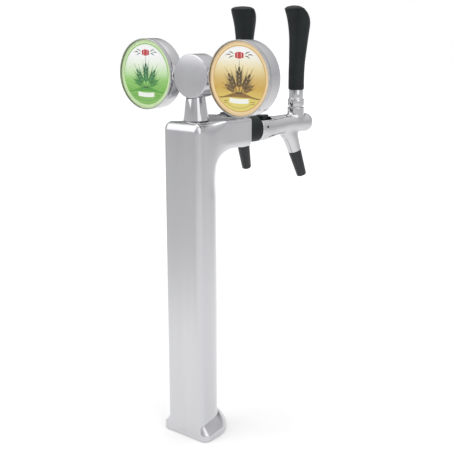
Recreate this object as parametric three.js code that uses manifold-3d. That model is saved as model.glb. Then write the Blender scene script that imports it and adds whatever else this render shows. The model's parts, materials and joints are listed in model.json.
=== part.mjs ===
// A counter-top beer tower with two taps: a hollow D-section column with two splayed arms, a
// lever tap with flow control on each arm, and two round badges on a post above the column.
// Millimetres, +Z up. The counter is Z = 0 and the customer stands on the -Y side.

import * as THREE from 'three';
import { mergeVertices } from 'three/addons/utils/BufferGeometryUtils.js';
import Module from 'manifold-3d';

const wasm = await Module();
wasm.setup();

// Column and its arms
const shoulderHeight = 422.5;
const columnHalfWidth = 30;
const frontSetback = 31;
const backCentreSetback = 7.5;
const columnCornerRadius = 9;
const shoulderRadius = 8;
const columnWall = 5;
const topWall = 4;
const armWall = 4;
const armLength = 75.6;
const armWidth = 35;
const armHeight = 37.5;
const armEdgeRadius = 9;
const armSplay = THREE.MathUtils.degToRad(15.6);
const underArmRadius = 33;
const armBlendDepth = 12;

// Foot
const footHalfWidth = 39;
const footBackSetback = 2;
const footCornerRadius = 10.5;
const footWallHeight = 9;
const footFrontTop = 20;
const footBackTop = 26.5;
const footFrontFullShare = 0.15;
const footBackFullShare = 0.75;
const gasketThickness = 2;
const gasketStandOut = 0.3;
const gasketWidth = 5;
const gasketInset = 1.5;
const clampBarWidth = 16;
const clampBarThickness = 6;
const clampBarHeight = 8;
const clampBarSeat = 3.5;
const clampBarSetback = 16;
const clampScrewRadius = 5;

// Post, hub and badges
const postFootRadius = 16.35;
const postTopRadius = 12.4;
const postLength = 28;
const hubRadius = 27;
const hubFrontSetback = 12.5;
const hubDepth = 27.5;
const hubWall = 3;
const hubDome = 0.9;
const hubEdgeRadius = 2.5;
const hubCapThickness = 3;
const tieRodRadius = 4;
const tieRodTail = 3;
const boltHeadRadius = 7;
const boltHeadHeight = 5;
const nutRadius = 7;
const nutHeight = 6;
const couplingRadius = 11;
const couplingGrooveDepth = 1;
const couplingGap = 3;
const studRadius = 4;
const studTail = 2;
const badgeRadius = 45;
const badgeDepth = 24.5;
const badgeWall = 2.5;
const badgeEdgeRadius = 3;
const bezelLip = 1.2;
const bezelSleeve = 0.8;
const bezelFace = 0.8;
const bezelDepth = 5;
const lensThickness = 1.2;
const labelThickness = 0.8;

// Shank, collar and beverage line
const tapAxisDrop = 16.9;
const collarRadius = 17.2;
const collarLength = 20;
const collarEdgeRadius = 1.2;
const shankRadius = 9;
const shankBore = 5;
const shankNutFlat = 11.2;
const shankNutLength = 7.6;
const shankShoulder = 2;
const spigotRadius = 3.2;
const spigotBore = 2;
const spigotLength = 12;
const shankSealThickness = 1.4;
const lineRadius = 5;
const lineWall = 1.5;
const ferruleWall = 1.2;
const ferruleLength = 8;
const lineSpacing = 13;
const lineSetback = 6;
const lineBendHeight = 56;
const lineBendPull = 39;
const lineStraight = 9;

// Tap body, measured from the lever axis along the tap
const tapTail = 70;
const flangeRadius = 17;
const flangeLength = 7;
const flangeTaper = 13;
const flangeEdge = 0.8;
const tapRadius = 12.9;
const tapRise = 3;
const tapNose = 25;
const noseRadius = 9;
const shankSocketDepth = 12;
const chamberRadius = 8;
const chamberEnd = 34.5;
const seatBore = 6.3;
const seatBoreFront = 16;
const nozzleTilt = THREE.MathUtils.degToRad(21.8);
const nozzleRoot = 14.9;
const branchLength = 37.9;
const branchRootReach = 17;
const branchRootWidth = 10;
const branchEndRadius = 8.3;
const nozzleLength = 38.5;
const nozzleEndRadius = 6.4;
const nozzleBore = 4.5;
const branchBore = 4;
const branchSpigotRadius = 5.7;
const branchSpigotLength = 10;
const setScrewPlace = 62;
const setScrewHeight = 3;
const setScrewRadius = 2;
const setScrewLength = 5.5;
const setScrewSocket = 1.1;
const setScrewSocketDepth = 1.6;

// Lever, measured up from the tap axis
const leverPivotHeight = 20;
const bossRadius = 11.4;
const domeRadius = 12.1;
const ballRadius = 7;
const bonnetRadius = 9;
const bonnetFoot = 14;
const sealFoot = 12;
const sealWidth = 1.1;
const ballClearance = 0.3;
const skirtClearance = 0.4;
const skirtRadius = 11.3;
const skirtFoot = 26.5;
const skirtTop = 35.5;
const ferruleRadius = 9.8;
const ferruleTop = 47.8;
const ferruleStep = 0.8;
const neckRadius = 2.8;
const fingerRadius = 1.8;
const fingerLength = 18;
const studIntoHandle = 16;
const leverPour = THREE.MathUtils.degToRad(25);
const handleLength = 110.3;
const handleReach = 15.5;
const handleHalfWidth = 16.5;
const handleSquareShare = 0.18;
const handleSquareFromShare = 0.3;
const handleSquareFullShare = 0.9;

// Valve inside the tap
const pistonRadius = 6;
const pistonFront = 27.5;
const pistonLength = 6;
const pistonGroove = 1.5;
const valveSealWidth = 2.4;
const valveSealRadius = 6.15;
const valveRodRadius = 2.5;
const guideBack = 8;
const guideFront = 10;
const slotHalfLength = 3.7;
const slotHalfWidth = 2.6;
const slotFloor = 1;

// Flow control
const controlPlace = 53.5;
const controlFlatHeight = 11.3;
const controlShaftRadius = 3;
const controlSeatRadius = 2.2;
const controlSeatLength = 3;
const camRadius = 1.5;
const camOffset = 1.4;
const yokeHalfLength = 3.1;
const yokeHalfHeight = 4;
const yokeRadius = 7.4;
const coneLength = 10;
const coneRootRadius = 3.3;
const coneTipRadius = 1.5;
const controlHubRadius = 4;
const controlCornerRadius = 2;
const controlReach = 15;
const controlSpread = THREE.MathUtils.degToRad(36);
const controlThickness = 5.6;
const controlEdgeRadius = 0.8;

// Clearances and the run-out of every cut
const seatGap = 0.3;
const boreGap = 0.3;
const slideGap = 0.4;
const cutOverrun = 1;
const mergeTolerance = 1e-4;

// Facets
const wideFacets = 24;
const tapFacets = 20;
const handleFacets = 16;
const roundFacets = 12;
const smallFacets = 8;
const hoseFacets = 8;
const hexFacets = 6;
const arcSteps = 3;
const backSteps = 12;

// Height, front, back and side of the handle's outline, as shares of its length and reaches
const handleShares = [
  { height: 0, front: 0.68, back: 0.68, side: 0.63 },
  { height: 0.3, front: 0.68, back: 0.74, side: 0.68 },
  { height: 0.6, front: 0.71, back: 0.83, side: 0.77 },
  { height: 0.74, front: 0.76, back: 0.89, side: 0.9 },
  { height: 0.83, front: 0.83, back: 0.9, side: 0.99 },
  { height: 0.89, front: 0.9, back: 0.84, side: 1 },
  { height: 0.935, front: 0.96, back: 0.7, side: 0.98 },
  { height: 0.965, front: 1, back: 0.52, side: 0.9 },
  { height: 0.985, front: 0.92, back: 0.25, side: 0.75 },
  { height: 1, front: 0.6, back: -0.05, side: 0.45 },
];

// Place along the nozzle branch and its reach and half width there, as shares
const branchShares = [
  { along: 0, reach: 1, width: 1 },
  { along: 0.2, reach: 0.95, width: 1 },
  { along: 0.32, reach: 0.77, width: 1 },
  { along: 0.42, reach: 0.65, width: 0.96 },
  { along: 0.54, reach: 0.58, width: 0.92 },
  { along: 0.72, reach: 0.53, width: 0.88 },
  { along: 1, reach: branchEndRadius / branchRootReach, width: branchEndRadius / branchRootWidth },
];

// Places that several pieces share
const tapAxisHeight = shoulderHeight - tapAxisDrop;
const leverDistance = armLength + collarLength + tapTail;
const hubCentreHeight = shoulderHeight + postLength + hubRadius;
const badgeCentre = hubRadius + couplingGap + badgeRadius;
const footBottom = gasketStandOut;
const sides = [
  { name: 'left', sign: -1, label: 'greenLabel' },
  { name: 'right', sign: 1, label: 'goldLabel' },
];

// Solids from closed geometry, and booleans between them

function closed(geometry) {
  geometry.deleteAttribute('normal');
  geometry.deleteAttribute('uv');
  const merged = mergeVertices(geometry, mergeTolerance);
  const kept = [];
  const index = merged.index.array;
  for (let i = 0; i < index.length; i += 3) {
    const [a, b, c] = [index[i], index[i + 1], index[i + 2]];
    if (a !== b && b !== c && c !== a) kept.push(a, b, c);
  }
  merged.setIndex(kept);
  return signedVolume(merged) < 0 ? flipped(merged) : merged;
}

function signedVolume(geometry) {
  const corner = new THREE.Vector3();
  const triangle = new THREE.Triangle();
  const index = geometry.index.array;
  let volume = 0;
  for (let i = 0; i < index.length; i += 3) {
    const corners = [index[i], index[i + 1], index[i + 2]];
    triangle.setFromAttributeAndIndices(geometry.attributes.position, ...corners);
    volume += triangle.a.dot(corner.crossVectors(triangle.b, triangle.c)) / 6;
  }
  return volume;
}

function flipped(geometry) {
  const index = geometry.index.array;
  for (let i = 0; i < index.length; i += 3) {
    const first = index[i];
    index[i] = index[i + 1];
    index[i + 1] = first;
  }
  return geometry;
}

function solid(geometry) {
  const mesh = new wasm.Mesh({
    numProp: 3,
    vertProperties: new Float32Array(geometry.attributes.position.array),
    triVerts: new Uint32Array(geometry.index.array),
  });
  return new wasm.Manifold(mesh);
}

function surface(manifold) {
  const mesh = manifold.getMesh();
  const geometry = new THREE.BufferGeometry();
  geometry.setAttribute('position', new THREE.BufferAttribute(new Float32Array(mesh.vertProperties), 3));
  geometry.setIndex(Array.from(mesh.triVerts));
  return geometry;
}

function join(...pieces) {
  return surface(pieces.map(solid).reduce((whole, piece) => whole.add(piece)));
}

function cut(piece, ...tools) {
  return surface(tools.map(solid).reduce((whole, tool) => whole.subtract(tool), solid(piece)));
}

function common(piece, tool) {
  return surface(solid(piece).intersect(solid(tool)));
}

// Basic forms. A profile is a list of [place along the axis, radius].

function revolve(axis, profile, facets = roundFacets) {
  const points = profile.map(([along, radius]) => new THREE.Vector2(radius, along));
  const geometry = new THREE.LatheGeometry(points, facets);
  if (axis === 'x') geometry.rotateZ(-Math.PI / 2);
  if (axis === 'z') geometry.rotateX(Math.PI / 2);
  return closed(geometry);
}

function rod(axis, radius, from, to, facets = roundFacets) {
  return revolve(axis, [[from, 0], [from, radius], [to, radius], [to, 0]], facets);
}

// A round hole's flats, not its corners, lie at its radius, so a faceted shaft clears it
function hole(axis, radius, from, to, facets = smallFacets) {
  return rod(axis, radius / Math.cos(Math.PI / facets), from, to, facets);
}

function ring(axis, inner, outer, from, to, facets = roundFacets) {
  return revolve(axis, [[from, inner], [from, outer], [to, outer], [to, inner], [from, inner]], facets);
}

function arc(alongCentre, radiusCentre, radius, start, end, steps = arcSteps) {
  const points = [];
  for (let i = 0; i <= steps; i += 1) {
    const angle = THREE.MathUtils.degToRad(start + ((end - start) * i) / steps);
    points.push([alongCentre + radius * Math.cos(angle), radiusCentre + radius * Math.sin(angle)]);
  }
  return points;
}

function block(low, high) {
  const size = high.map((value, i) => value - low[i]);
  const geometry = new THREE.BoxGeometry(...size);
  geometry.translate(...low.map((value, i) => value + size[i] / 2));
  return closed(geometry);
}

// A closed skin through rings that have the same number of points
function loft(rings) {
  const count = rings[0].length;
  const centres = [rings[0], rings[rings.length - 1]].map((points) => {
    const sum = points.reduce((total, point) => total.add(point), new THREE.Vector3());
    return sum.divideScalar(count);
  });
  const vertices = [...rings.flat(), ...centres];
  const index = [];
  for (let i = 0; i < count; i += 1) {
    const next = (i + 1) % count;
    for (let row = 0; row < rings.length - 1; row += 1) {
      const [a, b, c, d] = [i, next, next + count, i + count].map((place) => place + row * count);
      index.push(a, b, c, a, c, d);
    }
    const top = (rings.length - 1) * count;
    index.push(next, i, rings.length * count);
    index.push(top + i, top + next, rings.length * count + 1);
  }
  const geometry = new THREE.BufferGeometry();
  const places = vertices.flatMap((vertex) => vertex.toArray());
  geometry.setAttribute('position', new THREE.Float32BufferAttribute(places, 3));
  geometry.setIndex(index);
  return closed(geometry);
}

// A hose along a list of points
function hose(path, outer, inner, facets = hoseFacets) {
  const rows = [];
  let side = new THREE.Vector3(0, 1, 0);
  path.forEach((point, i) => {
    const before = path[Math.max(i - 1, 0)];
    const after = path[Math.min(i + 1, path.length - 1)];
    const tangent = after.clone().sub(before).normalize();
    side = side.clone().addScaledVector(tangent, -side.dot(tangent)).normalize();
    const other = tangent.clone().cross(side);
    const around = (radius) => Array.from({ length: facets }, (_, k) => {
      const angle = (2 * Math.PI * k) / facets;
      const offset = side.clone().multiplyScalar(radius * Math.cos(angle));
      return point.clone().add(offset).addScaledVector(other, radius * Math.sin(angle));
    });
    rows.push({ outer: around(outer), inner: around(inner / Math.cos(Math.PI / facets)) });
  });
  const loop = [...rows.map((row) => row.outer), ...rows.map((row) => row.inner).reverse()];
  const index = [];
  for (let row = 0; row < loop.length; row += 1) {
    const nextRow = (row + 1) % loop.length;
    for (let k = 0; k < facets; k += 1) {
      const next = (k + 1) % facets;
      const [a, b] = [row * facets + k, row * facets + next];
      const [c, d] = [nextRow * facets + next, nextRow * facets + k];
      index.push(a, b, c, a, c, d);
    }
  }
  const geometry = new THREE.BufferGeometry();
  const places = loop.flat().flatMap((vertex) => vertex.toArray());
  geometry.setAttribute('position', new THREE.Float32BufferAttribute(places, 3));
  geometry.setIndex(index);
  return closed(geometry);
}

// Column and foot: D-shaped outlines, flat at the front and round at the back

function dOutline({ halfWidth, setback, backSetback, corner }, inset, height) {
  const half = halfWidth - inset;
  const radius = Math.max(corner - inset, corner / 4);
  const front = inset - setback;
  const points = [];
  const sweep = (x, y, r, start, end, steps) => {
    arc(x, y, r, start, end, steps).forEach(([px, py]) => points.push(new THREE.Vector3(px, py, height)));
  };
  sweep(half - radius, front + radius, radius, -90, 0, arcSteps);
  sweep(0, -backSetback, half, 0, 180, backSteps);
  sweep(radius - half, front + radius, radius, 180, 270, arcSteps);
  return points;
}

const columnShape = {
  halfWidth: columnHalfWidth,
  setback: frontSetback,
  backSetback: backCentreSetback,
  corner: columnCornerRadius,
};
const footShape = {
  halfWidth: footHalfWidth,
  setback: frontSetback,
  backSetback: footBackSetback,
  corner: footCornerRadius,
};

function columnSolid() {
  const rings = [dOutline(columnShape, 0, footBottom)];
  arc(shoulderHeight - shoulderRadius, 0, shoulderRadius, 90, 0).forEach(([height, out]) => {
    rings.push(dOutline(columnShape, shoulderRadius - out, height));
  });
  return loft(rings);
}

// The foot's shoulder leans in to the column, hollow beside the flat front and full at the back
function footSolid() {
  const rim = dOutline(footShape, 0, footBottom);
  const column = dOutline(columnShape, 0, footBottom);
  const rings = [rim];
  arc(0, 0, 1, 0, 90, arcSteps + 1).forEach(([cos, sin]) => {
    rings.push(rim.map((point, i) => {
      const depth = (point.y + frontSetback) / (frontSetback + footHalfWidth - footBackSetback);
      const back = Math.sqrt(Math.max(depth, 0));
      const full = THREE.MathUtils.lerp(footFrontFullShare, footBackFullShare, back);
      const out = THREE.MathUtils.lerp(1 - sin, cos, full);
      const up = THREE.MathUtils.lerp(1 - cos, sin, full);
      const top = THREE.MathUtils.lerp(footFrontTop, footBackTop, back);
      const height = THREE.MathUtils.lerp(footWallHeight, top, up);
      return column[i].clone().lerp(point, out).setZ(height);
    }));
  });
  return loft(rings);
}

// One arm's side view, extruded across its width with rounded edges
function armSolid(sign, inset, length) {
  const top = shoulderHeight - inset;
  const underside = shoulderHeight - armHeight + inset;
  const columnBack = columnHalfWidth - backCentreSetback - inset;
  const bendCentre = columnBack + underArmRadius + inset;
  const bendHeight = underside - inset - underArmRadius;
  const edge = armEdgeRadius - inset;
  const end = length + edge;
  const shape = new THREE.Shape();
  shape.moveTo(0, bendHeight - armBlendDepth);
  shape.lineTo(columnBack, bendHeight - armBlendDepth);
  shape.absarc(bendCentre, bendHeight, underArmRadius + inset, Math.PI, Math.PI / 2, true);
  shape.lineTo(end, underside);
  shape.lineTo(end, top);
  shape.lineTo(0, top);
  const options = {
    depth: armWidth - 2 * inset - 2 * edge,
    bevelThickness: edge,
    bevelSize: edge,
    bevelOffset: -edge,
    bevelSegments: inset > 0 ? 1 : arcSteps,
    curveSegments: inset > 0 ? arcSteps : arcSteps * 2,
  };
  const arm = new THREE.ExtrudeGeometry(shape, options);
  arm.translate(0, 0, -options.depth / 2);
  arm.rotateX(Math.PI / 2);
  const reach = armWidth;
  const bottom = bendHeight - armBlendDepth - cutOverrun;
  const trim = block([-cutOverrun, -reach, bottom], [length, reach, top + cutOverrun]);
  const trimmed = common(closed(arm), trim);
  trimmed.rotateZ(armHeading(sign));
  return closed(trimmed);
}

function armHeading(sign) {
  return Math.PI / 2 - sign * armSplay;
}

function columnCavity() {
  const low = -cutOverrun;
  const high = shoulderHeight - topWall;
  const round = Math.max(shoulderRadius - columnWall, columnWall);
  return loft([
    dOutline(columnShape, columnWall, low),
    dOutline(columnShape, columnWall, high - round),
    dOutline(columnShape, columnWall + round / 3, high - round / 3),
    dOutline(columnShape, columnWall + round, high),
  ]);
}

function gasketShape(inset, low, high) {
  return loft([dOutline(footShape, inset, low), dOutline(footShape, inset, high)]);
}

function gasketBand(clearance, low, high) {
  const outer = gasketShape(gasketInset - clearance, low, high);
  const inner = gasketShape(gasketInset + gasketWidth + clearance, low - cutOverrun, high + cutOverrun);
  return cut(outer, inner);
}

function clampBarBlock(clearance, low) {
  const half = columnHalfWidth - columnWall + clampBarSeat + clearance;
  const halfWidth = clampBarWidth / 2 + clearance;
  const high = clampBarHeight + clampBarThickness + clearance;
  return block([-half, -clampBarSetback - halfWidth, low], [half, halfWidth - clampBarSetback, high]);
}

function towerBody() {
  const arms = sides.map(({ sign }) => armSolid(sign, 0, armLength));
  const hollows = sides.map(({ sign }) => armSolid(sign, armWall, armLength - armWall));
  const shankHoles = sides.map(({ sign }) => {
    const inner = armLength - 2 * armWall;
    const shankHole = hole('x', shankRadius + boreGap, inner, armLength + cutOverrun, roundFacets);
    shankHole.rotateZ(armHeading(sign));
    shankHole.translate(0, 0, tapAxisHeight);
    return shankHole;
  });
  const rodTop = shoulderHeight + cutOverrun;
  const rodHole = hole('z', tieRodRadius + boreGap, shoulderHeight - 2 * topWall, rodTop);
  const outside = join(columnSolid(), footSolid(), ...arms);
  return cut(
    outside,
    columnCavity(),
    ...hollows,
    ...shankHoles,
    rodHole,
    gasketBand(boreGap, -cutOverrun, gasketThickness + seatGap),
    clampBarBlock(boreGap, -cutOverrun),
  );
}

function baseGasket() {
  return gasketBand(0, 0, gasketThickness);
}

function clampBar() {
  const screwHole = hole('z', clampScrewRadius, -cutOverrun, shoulderHeight / 2);
  screwHole.translate(0, -clampBarSetback, 0);
  return cut(clampBarBlock(0, clampBarHeight), screwHole);
}

// Post, hub and the rod that clamps them to the column

function hubCylinder(clearance) {
  return rod('y', hubRadius + clearance, -2 * hubDepth, 2 * hubDepth, wideFacets);
}

function badgePost() {
  const foot = shoulderHeight + seatGap;
  const top = hubCentreHeight - hubRadius / 2;
  const taper = (postFootRadius - postTopRadius) / postLength;
  const radiusAbove = postFootRadius - taper * (top - shoulderHeight);
  const cone = revolve('z', [[foot, 0], [foot, postFootRadius], [top, radiusAbove], [top, 0]]);
  const hub = hubCylinder(seatGap);
  hub.translate(0, 0, hubCentreHeight);
  const bore = hole('z', tieRodRadius + boreGap, foot - cutOverrun, top + cutOverrun);
  return cut(cone, hub, bore);
}

function hubDrum() {
  const front = -hubFrontSetback;
  const back = hubDepth - hubFrontSetback;
  const inner = hubRadius - hubWall;
  const edgeFront = front + hubDome;
  const corner = arc(edgeFront + hubEdgeRadius, hubRadius - hubEdgeRadius, hubEdgeRadius, 180, 90, 2);
  const profile = [
    [front, 0],
    [front + hubDome / 4, hubRadius / 2],
    ...corner,
    [back, hubRadius],
    [back, inner],
    [front + hubWall + hubDome, inner],
    [front + hubWall, 0],
  ];
  const drum = revolve('y', profile, wideFacets);
  const rodHole = hole('z', tieRodRadius + boreGap, -hubRadius - cutOverrun, 0);
  const studReach = hubRadius + cutOverrun;
  const studHoles = hole('x', studRadius + boreGap, -studReach, studReach);
  return cut(drum, rodHole, studHoles);
}

function hubBackCap() {
  const back = hubDepth - hubFrontSetback;
  const radius = hubRadius - hubWall - seatGap;
  const edge = hubCapThickness / 4;
  const rim = arc(back - edge, radius - edge, edge, 0, 90, 1).reverse();
  const front = back - hubCapThickness;
  return revolve('y', [[front, 0], [front, radius], ...rim, [back, 0]], wideFacets);
}

// The lowest a flat face of some radius can sit in a round wall, measured from the wall's axis
function seatInRound(wallRadius, faceRadius) {
  return Math.sqrt(wallRadius ** 2 - faceRadius ** 2);
}

function postTieRod() {
  const headSeat = hubCentreHeight - seatInRound(hubRadius - hubWall, boltHeadRadius) + seatGap;
  const foot = shoulderHeight - topWall - seatGap - nutHeight - tieRodTail;
  const edge = boltHeadHeight / 6;
  return revolve('z', [
    [foot, 0],
    [foot, tieRodRadius],
    [headSeat, tieRodRadius],
    [headSeat, boltHeadRadius],
    [headSeat + boltHeadHeight - edge, boltHeadRadius],
    [headSeat + boltHeadHeight, boltHeadRadius - edge],
    [headSeat + boltHeadHeight, 0],
  ], smallFacets);
}

function nut(axis, bore, radius, from, to) {
  return cut(rod(axis, radius, from, to, hexFacets), hole(axis, bore, from - cutOverrun, to + cutOverrun));
}

function postNut() {
  const top = shoulderHeight - topWall - seatGap;
  return nut('z', tieRodRadius + boreGap, nutRadius, top - nutHeight, top);
}

// Badges. Each is made at its own centre and depth zero is its front face.

function badgeCoupling(sign) {
  const inner = seatInRound(hubRadius, couplingRadius) - hubWall;
  const outer = badgeCentre - seatInRound(badgeRadius, couplingRadius) + badgeWall;
  const middle = hubRadius + couplingGap / 2;
  const groove = couplingGrooveDepth;
  const profile = [
    [inner, studRadius + boreGap],
    [inner, couplingRadius],
    [middle - groove, couplingRadius],
    [middle, couplingRadius - groove],
    [middle + groove, couplingRadius],
    [outer, couplingRadius],
    [outer, studRadius + boreGap],
    [inner, studRadius + boreGap],
  ];
  const drum = rod('y', badgeRadius + seatGap, -2 * badgeDepth, 2 * badgeDepth, wideFacets * 2);
  drum.translate(badgeCentre, 0, 0);
  const collar = cut(revolve('x', profile), hubCylinder(seatGap), drum);
  return sign < 0 ? closed(collar.rotateZ(Math.PI)) : collar;
}

function badgeStud(sign) {
  const headSeat = seatInRound(hubRadius - hubWall, boltHeadRadius) - seatGap;
  const nutSeat = badgeCentre - seatInRound(badgeRadius - badgeWall, nutRadius) + seatGap;
  const tail = nutSeat + nutHeight + studTail;
  const stud = revolve('x', [
    [headSeat - boltHeadHeight, 0],
    [headSeat - boltHeadHeight, boltHeadRadius],
    [headSeat, boltHeadRadius],
    [headSeat, studRadius],
    [tail, studRadius],
    [tail, 0],
  ], smallFacets);
  return sign < 0 ? closed(stud.rotateZ(Math.PI)) : stud;
}

function badgeNut(sign) {
  const seat = badgeCentre - seatInRound(badgeRadius - badgeWall, nutRadius) + seatGap;
  const hex = nut('x', studRadius + boreGap, nutRadius, seat, seat + nutHeight);
  return sign < 0 ? closed(hex.rotateZ(Math.PI)) : hex;
}

const lensFront = bezelFace + seatGap;
const labelFront = lensFront + lensThickness + seatGap;
const housingFront = labelFront + labelThickness + seatGap;
const discRadius = badgeRadius - bezelSleeve - seatGap;

function badgeHousing(sign) {
  const spigot = badgeRadius - bezelSleeve - seatGap;
  const inner = badgeRadius - badgeWall;
  const step = bezelDepth + seatGap;
  const edge = badgeEdgeRadius;
  const corner = arc(badgeDepth - edge, badgeRadius - edge, edge, 90, 0, 2);
  const housing = revolve('y', [
    [housingFront, inner],
    [housingFront, spigot],
    [step, spigot],
    [step, badgeRadius],
    ...corner,
    [badgeDepth, 0],
    [badgeDepth - badgeWall, 0],
    [badgeDepth - badgeWall, inner],
    [housingFront, inner],
  ], wideFacets);
  const studHole = hole('x', studRadius + boreGap, badgeRadius - 2 * badgeWall, badgeRadius + cutOverrun);
  if (sign > 0) studHole.rotateZ(Math.PI);
  studHole.translate(0, hubFrontSetback, 0);
  return cut(housing, studHole);
}

function badgeBezel() {
  const lip = badgeRadius - bezelLip;
  const sleeve = badgeRadius - bezelSleeve;
  const chamfer = bezelFace / 2;
  return revolve('y', [
    [0, lip],
    [0, badgeRadius - chamfer],
    [chamfer, badgeRadius],
    [bezelDepth, badgeRadius],
    [bezelDepth, sleeve],
    [bezelFace, sleeve],
    [bezelFace, lip],
    [0, lip],
  ], wideFacets);
}

function badgeDisc(front, thickness) {
  return rod('y', discRadius, front, front + thickness, wideFacets);
}

// Pieces along the tap axis. X runs out along the tap, and zero is the lever axis.

function collarRing() {
  const back = -tapTail - collarLength + seatGap;
  const front = -tapTail - seatGap;
  const bore = shankRadius + boreGap;
  const centre = collarRadius - collarEdgeRadius;
  return revolve('x', [
    [back, bore],
    ...arc(back + collarEdgeRadius, centre, collarEdgeRadius, 180, 90, 1),
    ...arc(front - collarEdgeRadius, centre, collarEdgeRadius, 90, 0, 1),
    [front, bore],
    [back, bore],
  ], wideFacets);
}

const armInside = -tapTail - collarLength - armWall;
const shankFront = -tapTail + shankSocketDepth - shankSealThickness - 2 * seatGap;
const shankBack = armInside - seatGap - shankNutLength - shankShoulder;
const spigotBack = shankBack - spigotLength;

function shank() {
  return revolve('x', [
    [spigotBack, spigotBore],
    [spigotBack, spigotRadius],
    [shankBack, spigotRadius],
    [shankBack, shankRadius],
    [shankFront, shankRadius],
    [shankFront, shankBore],
    [shankBack + shankShoulder, shankBore],
    [shankBack + shankShoulder, spigotBore],
    [spigotBack, spigotBore],
  ]);
}

function shankNut() {
  const front = armInside - seatGap;
  const corner = shankNutFlat / Math.cos(Math.PI / hexFacets);
  const flatUp = nut('x', shankRadius + boreGap, corner, front - shankNutLength, front);
  return closed(flatUp.rotateX(Math.PI / hexFacets));
}

function shankSeal() {
  const back = shankFront + seatGap;
  return ring('x', shankBore, shankRadius, back, back + shankSealThickness);
}

function lineFerrule() {
  const inner = lineRadius + boreGap;
  const front = shankBack - shankShoulder;
  return ring('x', inner, inner + ferruleWall, front - ferruleLength, front, smallFacets);
}

// From the shank back through the arm, round the bend and down the column
function beverageLine(sign) {
  const heading = armHeading(sign);
  const out = new THREE.Vector3(Math.cos(heading), Math.sin(heading), 0);
  const start = leverDistance + shankBack - seatGap;
  const onAxis = (distance) => out.clone().multiplyScalar(distance).setZ(tapAxisHeight);
  const bendStart = onAxis(start - spigotLength - lineStraight);
  const down = new THREE.Vector3(sign * lineSpacing, lineSetback, tapAxisHeight - lineBendHeight);
  const bend = new THREE.CubicBezierCurve3(
    bendStart,
    bendStart.clone().addScaledVector(out, -lineBendPull),
    down.clone().setZ(down.z + lineBendPull),
    down,
  );
  const foot = down.clone().setZ(gasketStandOut + seatGap);
  const path = [onAxis(start), ...bend.getPoints(arcSteps * 2 + 1), foot];
  return hose(path, lineRadius, lineRadius - lineWall);
}

// Branch and nozzle are made along +Z, then turned to hang down and outwards from the tap
function hang(geometry) {
  geometry.rotateY(Math.PI - nozzleTilt);
  geometry.translate(-nozzleRoot, 0, 0);
  return closed(geometry);
}

function branchSolid() {
  const rings = branchShares.map(({ along, reach, width }) => {
    const points = arc(0, 0, 1, 0, 360 - 360 / roundFacets, roundFacets - 1);
    return points.map(([cos, sin]) => new THREE.Vector3(
      branchRootReach * reach * cos,
      branchRootWidth * width * sin,
      branchLength * along,
    ));
  });
  return hang(loft(rings));
}

// The flange is centred on the shank, and the barrel in front of it stands a little higher
function barrelSolid() {
  const neck = flangeLength - tapTail;
  const nose = arc(tapNose - noseRadius, tapRadius - noseRadius, noseRadius, 90, 0);
  const stations = [
    { along: -tapTail, radius: flangeRadius - flangeEdge, rise: 0 },
    { along: flangeEdge - tapTail, radius: flangeRadius, rise: 0 },
    { along: neck, radius: flangeRadius, rise: 0 },
    { along: neck + flangeTaper, radius: tapRadius, rise: tapRise },
    ...nose.map(([along, radius]) => ({ along, radius, rise: tapRise })),
  ];
  const circle = arc(0, 0, 1, 0, 360 - 360 / tapFacets, tapFacets - 1);
  return loft(stations.map(({ along, radius, rise }) => (
    circle.map(([cos, sin]) => new THREE.Vector3(along, radius * cos, rise + radius * sin))
  )));
}

function tapBody() {
  const shoulder = leverPivotHeight + seatInRound(domeRadius, bossRadius);
  const boss = rod('z', bossRadius, 0, shoulder, tapFacets);
  const spigot = hang(rod('z', branchSpigotRadius, branchLength / 2, branchLength + branchSpigotLength));
  const outside = join(barrelSolid(), boss, branchSolid(), spigot);
  const main = revolve('x', [
    [-tapTail - cutOverrun, 0],
    [-tapTail - cutOverrun, shankRadius + boreGap],
    [shankSocketDepth - tapTail, shankRadius + boreGap],
    [shankSocketDepth - tapTail, chamberRadius],
    [-chamberEnd, chamberRadius],
    [-chamberEnd, seatBore],
    [seatBoreFront, seatBore],
    [seatBoreFront, 0],
  ]);
  const socket = hole('z', bonnetRadius + boreGap, sealFoot - seatGap, shoulder + cutOverrun, roundFacets);
  const sweep = Math.tan(leverPour) * leverPivotHeight + fingerRadius;
  const passage = block([-sweep, -slotHalfWidth, 0], [sweep, slotHalfWidth, sealFoot]);
  const outlet = hang(hole('z', branchBore, 0, branchLength + branchSpigotLength + cutOverrun));
  const clear = flangeRadius + cutOverrun;
  const controlFront = controlHubRadius + slideGap - controlPlace;
  const flat = block([-tapTail - cutOverrun, -clear, controlFlatHeight], [controlFront, clear, clear]);
  const control = hole('z', controlShaftRadius + boreGap, 0, clear);
  control.translate(-controlPlace, 0, 0);
  const screw = hole('y', setScrewRadius + boreGap, -clear, 0);
  screw.translate(-setScrewPlace, 0, setScrewHeight);
  return cut(outside, main, socket, passage, outlet, flat, control, screw);
}

function nozzleTip() {
  const top = branchLength + seatGap;
  const end = branchLength + nozzleLength;
  const socket = branchSpigotRadius + boreGap;
  const socketEnd = branchLength + branchSpigotLength + seatGap;
  const lip = (nozzleEndRadius - nozzleBore) / 3;
  return hang(revolve('z', [
    [top, socket],
    [top, branchEndRadius - boreGap / 2],
    [end - lip, nozzleEndRadius],
    [end, nozzleEndRadius - lip],
    [end, nozzleBore],
    [socketEnd, nozzleBore],
    [socketEnd, socket],
    [top, socket],
  ]));
}

function setScrew() {
  const inner = shankRadius + seatGap;
  const outer = inner + setScrewLength;
  const screw = rod('y', setScrewRadius, -outer, -inner, smallFacets);
  const socket = rod('y', setScrewSocket, -outer - cutOverrun, setScrewSocketDepth - outer, hexFacets);
  const piece = cut(screw, socket);
  piece.translate(-setScrewPlace, 0, setScrewHeight);
  return piece;
}

// Lever: a ball in a bonnet, with a skirt that slides over the bonnet's dome

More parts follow.
